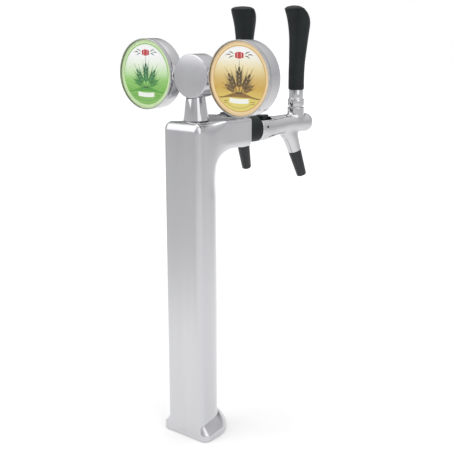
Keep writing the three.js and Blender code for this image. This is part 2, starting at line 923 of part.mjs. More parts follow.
function sphereArc(radius, start, end, steps = arcSteps) {
  return arc(leverPivotHeight, 0, radius, start, end, steps);
}

function polar(radius, height) {
  return THREE.MathUtils.radToDeg(Math.acos((height - leverPivotHeight) / radius));
}

function bonnet() {
  const cavity = ballRadius + ballClearance;
  const mouth = neckRadius + slideGap;
  const domeEdge = THREE.MathUtils.radToDeg(Math.asin(bonnetRadius / domeRadius));
  const outerMouth = THREE.MathUtils.radToDeg(Math.asin(mouth / domeRadius));
  const innerMouth = THREE.MathUtils.radToDeg(Math.asin(mouth / cavity));
  const body = revolve('z', [
    [bonnetFoot, cavity],
    [bonnetFoot, bonnetRadius],
    ...sphereArc(domeRadius, domeEdge, outerMouth, arcSteps),
    ...sphereArc(cavity, innerMouth, 90, arcSteps + 1),
    [bonnetFoot, cavity],
  ]);
  const reach = domeRadius * Math.sin(leverPour + Math.asin(mouth / domeRadius));
  const slot = block([-reach, -mouth, leverPivotHeight], [reach, mouth, leverPivotHeight + 2 * domeRadius]);
  return cut(body, slot);
}

function leverSeal() {
  const outer = ballRadius;
  const inner = outer - sealWidth;
  const reach = ballRadius + ballClearance;
  const innerTop = leverPivotHeight - seatInRound(reach, inner);
  const outerTop = leverPivotHeight - seatInRound(reach, outer);
  return revolve('z', [
    [sealFoot, inner],
    [sealFoot, outer],
    [outerTop, outer],
    [innerTop, inner],
    [sealFoot, inner],
  ]);
}

function leverStem() {
  const neckAngle = THREE.MathUtils.radToDeg(Math.asin(neckRadius / ballRadius));
  const fingerAngle = THREE.MathUtils.radToDeg(Math.asin(fingerRadius / ballRadius));
  const tip = leverPivotHeight - fingerLength;
  const top = ferruleTop + studIntoHandle;
  const chamfer = fingerRadius / 3;
  return revolve('z', [
    [tip, 0],
    [tip, fingerRadius - chamfer],
    [tip + chamfer, fingerRadius],
    ...sphereArc(ballRadius, 180 - fingerAngle, neckAngle, arcSteps * 2),
    [top - chamfer, neckRadius],
    [top, neckRadius - chamfer],
    [top, 0],
  ]);
}

function leverFerrule() {
  const under = domeRadius + skirtClearance;
  const bore = neckRadius + boreGap;
  const boreAngle = THREE.MathUtils.radToDeg(Math.asin(bore / under));
  const step = ferruleStep;
  return revolve('z', [
    ...sphereArc(under, boreAngle, polar(under, skirtFoot), arcSteps + 1),
    [skirtFoot, skirtRadius - step / 4],
    [skirtFoot + step, skirtRadius],
    [skirtTop - step, skirtRadius],
    [skirtTop, ferruleRadius],
    [ferruleTop, ferruleRadius],
    [ferruleTop, bore],
    [leverPivotHeight + under * Math.cos(Math.asin(bore / under)), bore],
  ]);
}

function leverHandle() {
  const foot = ferruleTop + seatGap;
  const facets = handleFacets;
  const rings = handleShares.map(({ height, front, back, side }) => {
    const blend = THREE.MathUtils.smoothstep(height, handleSquareFromShare, handleSquareFullShare);
    const square = 1 - handleSquareShare * blend;
    const points = arc(0, 0, 1, 0, 360 - 360 / facets, facets - 1);
    const middle = (handleReach * (back - front)) / 2;
    const half = (handleReach * (back + front)) / 2;
    return points.map(([cos, sin]) => new THREE.Vector3(
      middle + half * Math.sign(cos) * Math.abs(cos) ** square,
      handleHalfWidth * side * Math.sign(sin) * Math.abs(sin) ** square,
      foot + handleLength * height,
    ));
  });
  const socket = hole('z', neckRadius + boreGap, foot - cutOverrun, ferruleTop + studIntoHandle + seatGap);
  return cut(loft(rings), socket);
}

// Valve: a sliding shaft with a sealed piston behind the outlet and a guide that the lever moves

function valveShaft() {
  const groove = (pistonLength - valveSealWidth) / 2 - slideGap / 2;
  const back = -pistonFront - pistonLength;
  const bottom = pistonRadius - pistonGroove;
  const shaft = revolve('x', [
    [back, 0],
    [back, pistonRadius],
    [back + groove, pistonRadius],
    [back + groove, bottom],
    [-pistonFront - groove, bottom],
    [-pistonFront - groove, pistonRadius],
    [-pistonFront, pistonRadius],
    [-pistonFront, valveRodRadius],
    [-guideBack, valveRodRadius],
    [-guideBack, pistonRadius],
    [guideFront, pistonRadius],
    [guideFront, 0],
  ]);
  const high = pistonRadius + cutOverrun;
  const slot = block([-slotHalfLength, -slotHalfWidth, -slotFloor], [slotHalfLength, slotHalfWidth, high]);
  return cut(shaft, slot);
}

function valveSeal() {
  const middle = -pistonFront - pistonLength / 2;
  const half = valveSealWidth / 2;
  const inner = pistonRadius - pistonGroove + boreGap / 2;
  return ring('x', inner, valveSealRadius, middle - half, middle + half);
}

// Flow control: a cam on an upright shaft slides a cone in and out of the shank's mouth

function controlShaft() {
  const journalEnd = yokeHalfHeight + slideGap;
  const top = controlFlatHeight + seatGap + controlSeatLength;
  const journal = revolve('z', [
    [journalEnd, 0],
    [journalEnd, controlShaftRadius],
    [controlFlatHeight, controlShaftRadius],
    [controlFlatHeight, controlSeatRadius],
    [top, controlSeatRadius],
    [top, 0],
  ], smallFacets);
  const cam = rod('z', camRadius, -yokeHalfHeight, journalEnd + camRadius, smallFacets);
  cam.translate(0, -camOffset, 0);
  const piece = join(journal, cam);
  piece.translate(-controlPlace, 0, 0);
  return piece;
}

function flowCone() {
  const blank = rod('x', yokeRadius, -yokeHalfLength, yokeHalfLength);
  const clear = yokeRadius + cutOverrun;
  const flats = block([-clear, -clear, -yokeHalfHeight], [clear, clear, yokeHalfHeight]);
  const tip = -yokeHalfLength - coneLength;
  const cone = revolve('x', [
    [tip, 0],
    [tip, coneTipRadius],
    [-yokeHalfLength, coneRootRadius],
    [-camRadius, coneRootRadius],
    [-camRadius, 0],
  ]);
  const half = camRadius + slideGap;
  const reach = camRadius + camOffset + slideGap;
  const slot = block([-half, -reach, -clear], [half, reach, clear]);
  const piece = cut(join(common(blank, flats), cone), slot);
  piece.translate(-controlPlace, 0, 0);
  return piece;
}

// A fan-shaped lever whose round back edge sweeps past the collar
function controlLever() {
  const edge = controlEdgeRadius;
  const corner = controlCornerRadius;
  const cornerReach = controlReach - corner;
  const cornerX = cornerReach * Math.cos(controlSpread);
  const cornerY = cornerReach * Math.sin(controlSpread);
  const side = controlSpread + Math.acos((controlHubRadius - corner) / cornerReach);
  const shape = new THREE.Shape();
  shape.absarc(0, 0, controlHubRadius, side, 2 * Math.PI - side, false);
  shape.absarc(cornerX, -cornerY, corner, -side, -controlSpread, false);
  shape.absarc(0, 0, controlReach, -controlSpread, controlSpread, false);
  shape.absarc(cornerX, cornerY, corner, controlSpread, side, false);
  const options = {
    depth: controlThickness - 2 * edge,
    bevelThickness: edge,
    bevelSize: edge,
    bevelOffset: -edge,
    bevelSegments: 1,
    curveSegments: arcSteps,
  };
  const paddle = new THREE.ExtrudeGeometry(shape, options);
  paddle.rotateZ(Math.PI);
  const foot = controlFlatHeight + seatGap;
  paddle.translate(0, 0, foot + edge);
  const socketTop = foot + controlSeatLength + seatGap;
  const socket = hole('z', controlSeatRadius + boreGap, foot - cutOverrun, socketTop);
  const piece = cut(closed(paddle), socket);
  piece.translate(-controlPlace, 0, 0);
  return piece;
}

// Finishes

const finishes = {
  satinChrome: { color: 0xc6c7c9, roughness: 0.32, metalness: 1 },
  brightChrome: { color: 0xd9dadc, roughness: 0.14, metalness: 1 },
  steel: { color: 0xa9abae, roughness: 0.4, metalness: 1 },
  blackPlastic: { color: 0x20282a, roughness: 0.45, metalness: 0 },
  nozzlePlastic: { color: 0x3a3e41, roughness: 0.4, metalness: 0 },
  bezel: { color: 0x8d8f92, roughness: 0.25, metalness: 1 },
  rubber: { color: 0x1b1b1c, roughness: 0.8, metalness: 0 },
  lineTube: { color: 0xdfe4e2, roughness: 0.35, metalness: 0 },
  greenLabel: { color: 0x86c653, roughness: 0.5, metalness: 0 },
  goldLabel: { color: 0xe3b54c, roughness: 0.5, metalness: 0 },
  clearLens: { color: 0xffffff, roughness: 0.05, metalness: 0, transparent: true, opacity: 0.25 },
};

function add(parent, name, geometry, finish) {
  const material = new THREE.MeshStandardMaterial(finishes[finish]);
  geometry.computeVertexNormals();
  const mesh = new THREE.Mesh(geometry, material);
  mesh.name = name;
  parent.add(mesh);
}

// Assembly

const tower = new THREE.Group();
add(tower, 'tower_body', towerBody(), 'satinChrome');
add(tower, 'base_gasket', baseGasket(), 'rubber');
add(tower, 'clamp_bar', clampBar(), 'steel');
add(tower, 'badge_post', badgePost(), 'brightChrome');
add(tower, 'post_tie_rod', postTieRod(), 'steel');
add(tower, 'post_nut', postNut(), 'steel');

const hub = new THREE.Group();
hub.position.z = hubCentreHeight;
add(hub, 'hub_drum', hubDrum(), 'brightChrome');
add(hub, 'hub_back_cap', hubBackCap(), 'brightChrome');
tower.add(hub);

for (const { name, sign, label } of sides) {
  add(hub, `badge_coupling_${name}`, badgeCoupling(sign), 'brightChrome');
  add(hub, `badge_stud_${name}`, badgeStud(sign), 'steel');
  add(hub, `badge_nut_${name}`, badgeNut(sign), 'steel');
  const badge = new THREE.Group();
  badge.position.set(sign * badgeCentre, -hubFrontSetback, 0);
  add(badge, `badge_housing_${name}`, badgeHousing(sign), 'brightChrome');
  add(badge, `badge_label_${name}`, badgeDisc(labelFront, labelThickness), label);
  add(badge, `badge_lens_${name}`, badgeDisc(lensFront, lensThickness), 'clearLens');
  add(badge, `badge_bezel_${name}`, badgeBezel(), 'bezel');
  hub.add(badge);

  add(tower, `beverage_line_${name}`, beverageLine(sign), 'lineTube');
  const heading = armHeading(sign);
  const tap = new THREE.Group();
  tap.position.set(leverDistance * Math.cos(heading), leverDistance * Math.sin(heading), tapAxisHeight);
  tap.rotation.z = heading;
  add(tap, `collar_ring_${name}`, collarRing(), 'blackPlastic');
  add(tap, `shank_${name}`, shank(), 'steel');
  add(tap, `shank_nut_${name}`, shankNut(), 'steel');
  add(tap, `shank_seal_${name}`, shankSeal(), 'rubber');
  add(tap, `line_ferrule_${name}`, lineFerrule(), 'steel');
  add(tap, `tap_body_${name}`, tapBody(), 'brightChrome');
  add(tap, `set_screw_${name}`, setScrew(), 'blackPlastic');
  add(tap, `nozzle_tip_${name}`, nozzleTip(), 'nozzlePlastic');
  add(tap, `bonnet_${name}`, bonnet(), 'brightChrome');
  add(tap, `lever_seal_${name}`, leverSeal(), 'rubber');
  add(tap, `lever_stem_${name}`, leverStem(), 'steel');
  add(tap, `lever_ferrule_${name}`, leverFerrule(), 'brightChrome');
  add(tap, `lever_handle_${name}`, leverHandle(), 'blackPlastic');
  add(tap, `valve_shaft_${name}`, valveShaft(), 'steel');
  add(tap, `valve_seal_${name}`, valveSeal(), 'rubber');
  add(tap, `control_shaft_${name}`, controlShaft(), 'steel');
  add(tap, `control_lever_${name}`, controlLever(), 'blackPlastic');
  add(tap, `flow_cone_${name}`, flowCone(), 'steel');
  tower.add(tap);
}

// The origin is under the middle of the whole object, on the counter
tower.updateMatrixWorld(true);
const bounds = new THREE.Box3().setFromObject(tower, true);
const middle = bounds.getCenter(new THREE.Vector3());
tower.position.set(-middle.x, -middle.y, -bounds.min.z);

export default tower;
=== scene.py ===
"""A counter-top beer tower: detailed surfaces and studio light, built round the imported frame."""

import json
import math

import bmesh
import bpy
import numpy as np
from mathutils import Matrix, Vector
from mathutils.bvhtree import BVHTree


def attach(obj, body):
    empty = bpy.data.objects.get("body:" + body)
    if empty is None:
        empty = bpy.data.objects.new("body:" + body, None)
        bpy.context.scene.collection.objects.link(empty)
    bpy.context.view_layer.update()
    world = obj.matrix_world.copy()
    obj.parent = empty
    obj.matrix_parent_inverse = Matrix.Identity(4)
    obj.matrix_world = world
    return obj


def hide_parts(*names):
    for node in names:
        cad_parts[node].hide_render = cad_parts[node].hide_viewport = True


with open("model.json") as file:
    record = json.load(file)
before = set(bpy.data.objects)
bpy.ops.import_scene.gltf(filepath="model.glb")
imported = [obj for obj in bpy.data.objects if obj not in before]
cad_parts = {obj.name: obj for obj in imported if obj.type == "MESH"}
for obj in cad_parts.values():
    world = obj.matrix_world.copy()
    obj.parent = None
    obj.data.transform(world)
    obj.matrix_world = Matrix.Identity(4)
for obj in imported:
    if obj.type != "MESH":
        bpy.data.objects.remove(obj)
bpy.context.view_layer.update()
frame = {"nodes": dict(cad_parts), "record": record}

MM = 0.001
TURN = 2 * math.pi
WELD = 1e-6

# Facets round a turned piece, round the hub and the badges, and round a hole
ROUND = 96
FINE_ROUND = 160
SMALL_ROUND = 48

# Places and holes, in millimetres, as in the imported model
POST_Y = -76.838
SHOULDER = 422.5
TAP_HEIGHT = 405.6
LEVER_DISTANCE = 165.6
HUB_HEIGHT = 477.5
BADGE_X = 75.0
BADGE_Y = -12.5
SPLAY = math.radians(15.6)
GAP = 0.3
ROD_HOLE = 4.3
SHANK_HOLE = 9.3

# A cutting tool passes the surface by this much
PAST = 1.0

SIDES = {"left": -1, "right": 1}


def new_object(name, data):
    made = bpy.data.objects.new(name, data)
    bpy.context.collection.objects.link(made)
    return made


# Camera, as fitted to the photograph

CAMERA_PLACE = (0.649, -0.8473, 0.5395)
CAMERA_TURN = (75.87, 0.0, 37.97)
LENS_MM = 63.79
SENSOR_MM = 36.0


def make_camera():
    data = bpy.data.cameras.new("camera")
    data.lens = LENS_MM
    data.sensor_width = SENSOR_MM
    camera = new_object("camera", data)
    camera.location = CAMERA_PLACE
    camera.rotation_euler = [math.radians(angle) for angle in CAMERA_TURN]
    bpy.context.scene.camera = camera


# Curves and profiles. A profile is a list of (place along the axis, radius).

# A corner more open than this stays, and a rounding takes this share of an edge at most
OPEN_CORNER = math.radians(155)
LONGEST_ROUNDING = 0.45
CORNER_CUTS = (0.25, 0.75)


def lerp(a, b, share):
    return a + (b - a) * share


def ease(share):
    """A smooth rise from 0 to 1."""
    return share * share * (3 - 2 * share)


def arc(along, across, radius, start, end, steps):
    """Points round a middle, between two angles in degrees."""
    points = []
    for i in range(steps + 1):
        angle = math.radians(lerp(start, end, i / steps))
        points.append((along + radius * math.cos(angle), across + radius * math.sin(angle)))
    return points


def soften(profile, radius, steps=4):
    """Rounds the sharp corners of a profile."""
    points = [Vector(point) for point in profile]
    is_loop = (points[0] - points[-1]).length < WELD
    if is_loop:
        points = points[:-1]
    rounded = []
    for i, point in enumerate(points):
        at_end = not is_loop and i in (0, len(points) - 1)
        before = points[i - 1] - point
        after = points[(i + 1) % len(points)] - point
        shorter = min(before.length, after.length)
        if at_end or shorter < WELD or before.angle(after) > OPEN_CORNER:
            rounded.append(tuple(point))
            continue
        reach = min(radius / math.tan(before.angle(after) / 2), shorter * LONGEST_ROUNDING)
        start = point + before.normalized() * reach
        end = point + after.normalized() * reach
        for k in range(steps + 1):
            share = k / steps
            rounded.append(tuple(start.lerp(point, share).lerp(point.lerp(end, share), share)))
    if is_loop:
        rounded.append(rounded[0])
    return rounded


def relax(rows, rounds):
    """Corner cutting: the rows become a smooth curve that stays inside them."""
    for _ in range(rounds):
        trimmed = [rows[0]]
        for a, b in zip(rows, rows[1:]):
            for share in CORNER_CUTS:
                trimmed.append([lerp(p, q, share) for p, q in zip(a, b)])
        rows = trimmed + [rows[-1]]
    return rows


def through(rows, steps=5):
    """A smooth curve through all the rows (Catmull-Rom)."""
    smooth = []
    last = len(rows) - 1
    for i in range(last):
        before, start, end, after = (rows[min(max(i + k, 0), last)] for k in (-1, 0, 1, 2))
        for k in range(steps):
            t = k / steps
            smooth.append([
                b + 0.5 * t * (c - a + t * (2 * a - 5 * b + 4 * c - d + t * (3 * (b - c) + d - a)))
                for a, b, c, d in zip(before, start, end, after)
            ])
    return smooth + [rows[-1]]


def circle(facets=ROUND):
    return [(math.cos(TURN * i / facets), math.sin(TURN * i / facets)) for i in range(facets)]


# Meshes

AXES = {
    "x": Matrix.Rotation(math.pi / 2, 4, "Y"),
    "y": Matrix.Rotation(-math.pi / 2, 4, "X"),
    "z": Matrix.Identity(4),
}


def mesh_object(name, points, faces, place):
    """A closed mesh. The points are in millimetres in the frame that place gives."""
    mesh = bpy.data.meshes.new(name)
    mesh.from_pydata([(place @ Vector(point)) * MM for point in points], [], faces)
    work = bmesh.new()
    work.from_mesh(mesh)
    bmesh.ops.remove_doubles(work, verts=work.verts, dist=WELD)
    bmesh.ops.dissolve_degenerate(work, edges=work.edges, dist=WELD)
    bmesh.ops.recalc_face_normals(work, faces=work.faces)
    work.to_mesh(mesh)
    work.free()
    return new_object(name, mesh)


def tube_faces(rows, count):
    faces = []
    for start in range(0, (rows - 1) * count, count):
        for i in range(count):
            a, b = start + i, start + (i + 1) % count
            faces.append((a, b, b + count, a + count))
    return faces


def loft(name, rings, place):
    """A closed piece through rings of points, with a fan of faces over its first and last."""
    count = len(rings[0])
    points = [point for ring in rings for point in ring]
    faces = tube_faces(len(rings), count)
    for row, ring in ((0, rings[0]), (len(rings) - 1, rings[-1])):
        points.append([sum(values) / count for values in zip(*ring)])
        for i in range(count):
            faces.append((row * count + i, row * count + (i + 1) % count, len(points) - 1))
    return mesh_object(name, points, faces, place)


def lathe(name, axis, profile, place, facets=ROUND):
    """A turned piece. Its profile starts and ends on the axis, or runs round to its start."""
    points = [(radius * cos, radius * sin, along)
              for along, radius in profile for cos, sin in circle(facets)]
    return mesh_object(name, points, tube_faces(len(profile), facets), place @ AXES[axis])


def rod(name, axis, radius, low, high, place, facets=ROUND):
    return lathe(name, axis, [(low, 0), (low, radius), (high, radius), (high, 0)], place, facets)


def hole(axis, radius, low, high, place):
    """A tool that drills a hole."""
    return rod("hole", axis, radius, low, high, place, SMALL_ROUND)


def block(name, low, high, place):
    (x0, y0, z0), (x1, y1, z1) = low, high
    floor = [(x0, y0, z0), (x1, y0, z0), (x1, y1, z0), (x0, y1, z0)]
    roof = [(x, y, z1) for x, y, _ in floor]
    return loft(name, [floor, roof], place)


def bake(piece):
    """Applies a piece's modifiers to its mesh."""
    evaluated = piece.evaluated_get(bpy.context.evaluated_depsgraph_get())
    mesh = bpy.data.meshes.new_from_object(evaluated)
    piece.modifiers.clear()
    piece.data = mesh


def combine(piece, tools, operation):
    """Joins the tools to a piece or cuts them off it, and removes them."""
    for tool in tools:
        modifier = piece.modifiers.new(operation, "BOOLEAN")
        modifier.operation = operation
        modifier.solver = "MANIFOLD"
        modifier.object = tool
    bake(piece)
    for tool in tools:
        bpy.data.objects.remove(tool)


def cut(piece, *tools):
    combine(piece, tools, "DIFFERENCE")
    return piece


def tree_of(piece):
    work = bmesh.new()
    work.from_mesh(piece.data)
    bmesh.ops.triangulate(work, faces=work.faces)
    tree = BVHTree.FromBMesh(work)
    work.free()
    return tree


def surface_distance(tree, points):
    return np.array([tree.find_nearest(point)[3] for point in points])


def even_out(points, edges, weights, rounds):
    """Moves each point towards the middle of its neighbours, half way where its weight is 1."""
    count = len(points)
    start, end = edges.T
    degree = np.bincount(edges.ravel(), minlength=count)[:, None]
    for _ in range(rounds):
        total = np.empty_like(points)
        for k in range(3):
            total[:, k] = np.bincount(start, points[end, k], count)
            total[:, k] += np.bincount(end, points[start, k], count)
        points += (total / degree - points) * weights * 0.5


def melt(name, solids, crisp, voxel, reach, rounds):
    """One cast surface through the solids, with fillets of about reach where they meet.

    The crisp solids join it without a fillet."""
    trees = [tree_of(solid) for solid in solids]
    whole = solids[0]
    whole.name = name
    combine(whole, solids[1:] + crisp, "UNION")
    exact = tree_of(whole)
    modifier = whole.modifiers.new("voxels", "REMESH")
    modifier.mode = "VOXEL"
    modifier.voxel_size = voxel * MM
    bake(whole)

    mesh = whole.data
    snapped = [exact.find_nearest(vertex.co)[0] for vertex in mesh.vertices]
    near = np.sort([surface_distance(tree, snapped) for tree in trees], axis=0)
    weights = ease(np.clip(1 - near[1] / (reach * MM), 0, 1))[:, None]
    edges = np.empty(len(mesh.edges) * 2, dtype=int)
    mesh.edges.foreach_get("vertices", edges)
    points = np.array(snapped)
    even_out(points, edges.reshape(-1, 2), weights, rounds)
    mesh.vertices.foreach_set("co", points.ravel())
    mesh.update()
    return whole


# Materials. Every one is a Principled surface with procedural colour, roughness and bump.

NOISE_RANGE = (0.3, 0.7)


class Shading:
    """A node tree, with short calls for the nodes that are used here."""

    def __init__(self, owner):
        owner.use_nodes = True
        self.nodes = owner.node_tree.nodes
        self.links = owner.node_tree.links

    def fill(self, node, inputs):
        """Gives a node's inputs numbers and colours, or other nodes' outputs."""
        for name, value in inputs.items():
            if isinstance(value, bpy.types.NodeSocket):
                self.links.new(value, node.inputs[name])
            else:
                node.inputs[name].default_value = value

    def add(self, kind, inputs, **settings):
        node = self.nodes.new(f"ShaderNode{kind}")
        for name, value in settings.items():
            setattr(node, name, value)
        self.fill(node, inputs)
        return node

    def place(self, output="Object"):
        return self.add("TexCoord", {}).outputs[output]

    def axis(self, vector, name):
        return self.add("SeparateXYZ", {"Vector": vector}).outputs[name]

    def noise(self, scale, detail=3.0, stretch=(1, 1, 1)):
        """Noise in object space. The scale is in features a metre."""
        mapping = self.add("Mapping", {"Vector": self.place(), "Scale": stretch})
        vector = mapping.outputs["Vector"]
        texture = self.add("TexNoise", {"Vector": vector, "Scale": scale, "Detail": detail})
        return texture.outputs["Fac"]

    def span(self, value, low, high, to_low=0, to_high=1):
        """Maps the range from low to high to another one, and holds the value at its ends."""
        return self.add("MapRange", {
            "Value": value, "From Min": low, "From Max": high, "To Min": to_low, "To Max": to_high,
        }).outputs["Result"]

    def spread(self, noise, low, high):
        """Maps the middle of a noise to a range."""
        return self.span(noise, *NOISE_RANGE, low, high)

    def ramp(self, value, stops, interpolation="LINEAR"):
        node = self.add("ValToRGB", {"Fac": value})
        node.color_ramp.interpolation = interpolation
        elements = node.color_ramp.elements
        while len(elements) < len(stops):
            elements.new(0.5)
        for element, (place, color) in zip(elements, stops):
            element.position = place
            element.color = (*color, 1)
        return node.outputs["Color"]

    def tones(self, noise, dark, light):
        return self.ramp(noise, list(zip(NOISE_RANGE, (dark, light))))

    def blend(self, share, first, second):
        inputs = {"Factor": share, "A": first, "B": second}
        return self.add("Mix", inputs, data_type="RGBA").outputs["Result"]

    def bump(self, height, strength, distance):
        """A bump for the shader's normal. The distance is in millimetres."""
        inputs = {"Height": height, "Strength": strength, "Distance": distance * MM}
        return self.add("Bump", inputs).outputs["Normal"]

    def number(self, operation, first, second):
        inputs = {0: first, 1: second}
        return self.add("Math", inputs, operation=operation).outputs["Value"]

    def vector(self, operation, *values):
        node = self.add("VectorMath", dict(enumerate(values)), operation=operation)
        is_number = operation in ("LENGTH", "DOT_PRODUCT")
        return node.outputs["Value" if is_number else "Vector"]


def new_surface(name):
    material = bpy.data.materials.new(name)
    shading = Shading(material)
    return material, shading, shading.nodes["Principled BSDF"]


def metal(name, dark, light, roughness, grain=2600, strength=0.12, stretch=(1, 1, 1),
          variation=0.05):
    material, shading, shader = new_surface(name)
    clouds = shading.noise(scale=38, detail=4.0, stretch=stretch)
    smears = shading.noise(scale=130, detail=5.0, stretch=stretch)
    scratches = shading.noise(scale=grain, detail=2.0, stretch=stretch)
    shading.fill(shader, {
        "Metallic": 1.0,
        "Base Color": shading.tones(clouds, dark, light),
        "Roughness": shading.spread(smears, roughness - variation, roughness + variation),
        "Normal": shading.bump(scratches, strength, distance=0.02),
    })
    return material


def plastic(name, dark, light, roughness, grain=1800, strength=0.25, coat=0.0, gloss=0.3):
    material, shading, shader = new_surface(name)
    clouds = shading.noise(scale=60, detail=4.0)
    smears = shading.noise(scale=220, detail=4.0)
    shading.fill(shader, {
        "Specular IOR Level": gloss,
        "Coat Weight": coat,
        "Coat Roughness": 0.2,
        "Base Color": shading.tones(clouds, dark, light),
        "Roughness": shading.spread(smears, roughness - 0.04, roughness + 0.05),
        "Normal": shading.bump(shading.noise(grain), strength, distance=0.04),
    })
    return material


def clear_lens():
    material, shading, shader = new_surface("clear_lens")
    shading.fill(shader, {
        "Base Color": (0.8, 0.8, 0.8, 1),
        "Alpha": 0.04,
        "Roughness": shading.spread(shading.noise(scale=90), 0.03, 0.08),
    })
    return material


LABEL_RADIUS = 43.9


def printed(name, centre, gradient, rim=None):
    """Print on a badge: a gradient from bottom to top, and rings over it.

    A row of the rim is (share of the radius, colour, whether it covers the gradient)."""
    material, shading, shader = new_surface(name)
    reach = LABEL_RADIUS * MM
    from_centre = shading.vector("SUBTRACT", shading.place(), centre)
    on_face = shading.vector("MULTIPLY", from_centre, (1, 0, 1))
    height = shading.span(shading.axis(on_face, "Z"), -reach, reach)
    color = shading.ramp(height, gradient)
    if rim:
        distance = shading.span(shading.vector("LENGTH", on_face), 0, reach)
        tints = [(place, tint) for place, tint, _ in rim]
        covers = [(place, (cover,) * 3) for place, _, cover in rim]
        rings = shading.ramp(distance, tints, "CONSTANT")
        color = shading.blend(shading.ramp(distance, covers, "CONSTANT"), color, rings)
    shading.fill(shader, {
        "Specular IOR Level": 0.2,
        "Base Color": color,
        "Roughness": shading.spread(shading.noise(scale=300), 0.38, 0.5),
        "Normal": shading.bump(shading.noise(3500, detail=2.0), strength=0.02, distance=0.01),
    })
    return material


MATERIALS = {
    "satin_chrome": metal(
        "satin_chrome", (0.59, 0.59, 0.61), (0.645, 0.645, 0.66), roughness=0.2,
        strength=0.03, stretch=(1, 1, 0.04), variation=0.03),
    "badge_chrome": metal(
        "badge_chrome", (0.59, 0.59, 0.608), (0.625, 0.625, 0.643), roughness=0.22,
        strength=0.02, variation=0.02),
    "bright_chrome": metal(
        "bright_chrome", (0.6, 0.6, 0.613), (0.635, 0.635, 0.645), roughness=0.08,
        strength=0.015, variation=0.015),
    "steel": metal(
        "steel", (0.48, 0.49, 0.5), (0.58, 0.59, 0.6), roughness=0.36, stretch=(1, 1, 12)),
    "bezel_metal": metal(
        "bezel_metal", (0.52, 0.52, 0.53), (0.57, 0.57, 0.58), roughness=0.12,
        strength=0.015, variation=0.02),
    "black_plastic": plastic(
        "black_plastic", (0.006, 0.0095, 0.01), (0.009, 0.014, 0.0145), roughness=0.5,
        strength=0.12),
    "nozzle_plastic": plastic(
        "nozzle_plastic", (0.009, 0.0125, 0.0135), (0.014, 0.0185, 0.02), roughness=0.26,
        strength=0.08, gloss=0.5),
    "seal_rubber": plastic(
        "seal_rubber", (0.01, 0.01, 0.011), (0.018, 0.018, 0.019), roughness=0.75,
        grain=900, strength=0.5),
    "line_tube": plastic(
        "line_tube", (0.7, 0.74, 0.72), (0.78, 0.81, 0.79), roughness=0.25, coat=0.3),
    "clear_lens": clear_lens(),
}


def finish_surface(piece, material, sharp=30):
    """Smooth shading with sharp edges, and the material."""
    mesh = piece.data
    mesh.materials.clear()
    mesh.materials.append(material)
    mesh.shade_smooth()
    mesh.set_sharp_from_angle(angle=math.radians(sharp))


def settle(piece, slot, nodes=(), body="tower", material=None, sharp=30):
    """Gives a piece its finish, its body and the CAD nodes that it stands for."""
    finish_surface(piece, material or MATERIALS[slot], sharp)
    if nodes:
        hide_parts(*nodes)
    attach(piece, body)


# Frames of the parts

POST = Matrix.Translation((0, POST_Y, 0))
HUB = Matrix.Translation((0, POST_Y, HUB_HEIGHT))


def arm_frame(sign):
    """+X runs out along the arm, and Z stays up."""
    return POST @ Matrix.Rotation(math.pi / 2 - sign * SPLAY, 4, "Z")


def tap_frame(sign):
    return arm_frame(sign) @ Matrix.Translation((LEVER_DISTANCE, 0, TAP_HEIGHT))


def badge_frame(sign):
    return HUB @ Matrix.Translation((sign * BADGE_X, BADGE_Y, 0))


# Tower body

COLUMN_HALF = 30.0
COLUMN_BACK = 7.5
COLUMN_CORNER = 9.0
FRONT = 31.0
FOOT_HALF = 39.0
FOOT_BACK = 2.0
FOOT_CORNER = 10.5
FOOT_WALL = 9.0
FOOT_FRONT_TOP = 20.0
FOOT_BACK_TOP = 26.5
FOOT_FULLNESS = (0.15, 0.75)
SHOULDER_DROP = 12.0
SHOULDER_INSET = 9.0
WALL = 5.0
ARM_WALL = 4.0
ARM_LENGTH = 75.6
ARM_WIDTH = 35.0
ARM_HEIGHT = 37.5
ARM_EDGE = 9.0
ARM_TOP_EDGE = 4.0
ARM_FLARE = 0.1793
ARM_BEND = 33.0
ARM_BLEND = 12.0
ARM_STATIONS = (0.8, 0.87, 0.94, 1)
ARM_STEPS = 40
EDGE_STEPS = 10
SHOULDER_PLATE = 8.0
CLAMP_LOW = (-28.8, -24.3, -PAST)
CLAMP_HIGH = (28.8, -7.7, 14.3)


def d_outline(half, back, corner, inset, height):
    """A level D with round corners: a flat front and a half circle at the back."""
    half -= inset
    radius = max(corner - inset, corner / 4)
    front = inset - FRONT
    points = arc(half - radius, front + radius, radius, -90, 0, steps=14)
    points += arc(0, -back, half, 0, 180, steps=72)
    points += arc(radius - half, front + radius, radius, 180, 270, steps=14)
    return [(x, y, height) for x, y in points]


def column_ring(inset, height):
    return d_outline(COLUMN_HALF, COLUMN_BACK, COLUMN_CORNER, inset, height)


def foot_rings():
    """Rings from the foot's rim over its bulge, which is fuller and higher at the back."""
    rim = d_outline(FOOT_HALF, FOOT_BACK, FOOT_CORNER, 0, GAP)
    column = column_ring(0, GAP)
    rings = [rim]
    for cos, sin in arc(0, 0, 1, 0, 90, steps=16):
        ring = []
        for (x, y, _), (column_x, column_y, _) in zip(rim, column):
            depth = (y + FRONT) / (FRONT + FOOT_HALF - FOOT_BACK)
            back = math.sqrt(max(depth, 0))
            full = lerp(*FOOT_FULLNESS, back)
            out = lerp(1 - sin, cos, full)
            up = lerp(1 - cos, sin, full)
            top = lerp(FOOT_FRONT_TOP, FOOT_BACK_TOP, back)
            ring.append((lerp(column_x, x, out), lerp(column_y, y, out), lerp(FOOT_WALL, top, up)))
        rings.append(ring)
    return rings


def rounding_drop(radius, depth):
    """How far an edge of this radius falls away at this depth from the face."""
    lack = max(radius - depth, 0)
    return radius - math.sqrt(radius ** 2 - lack ** 2)


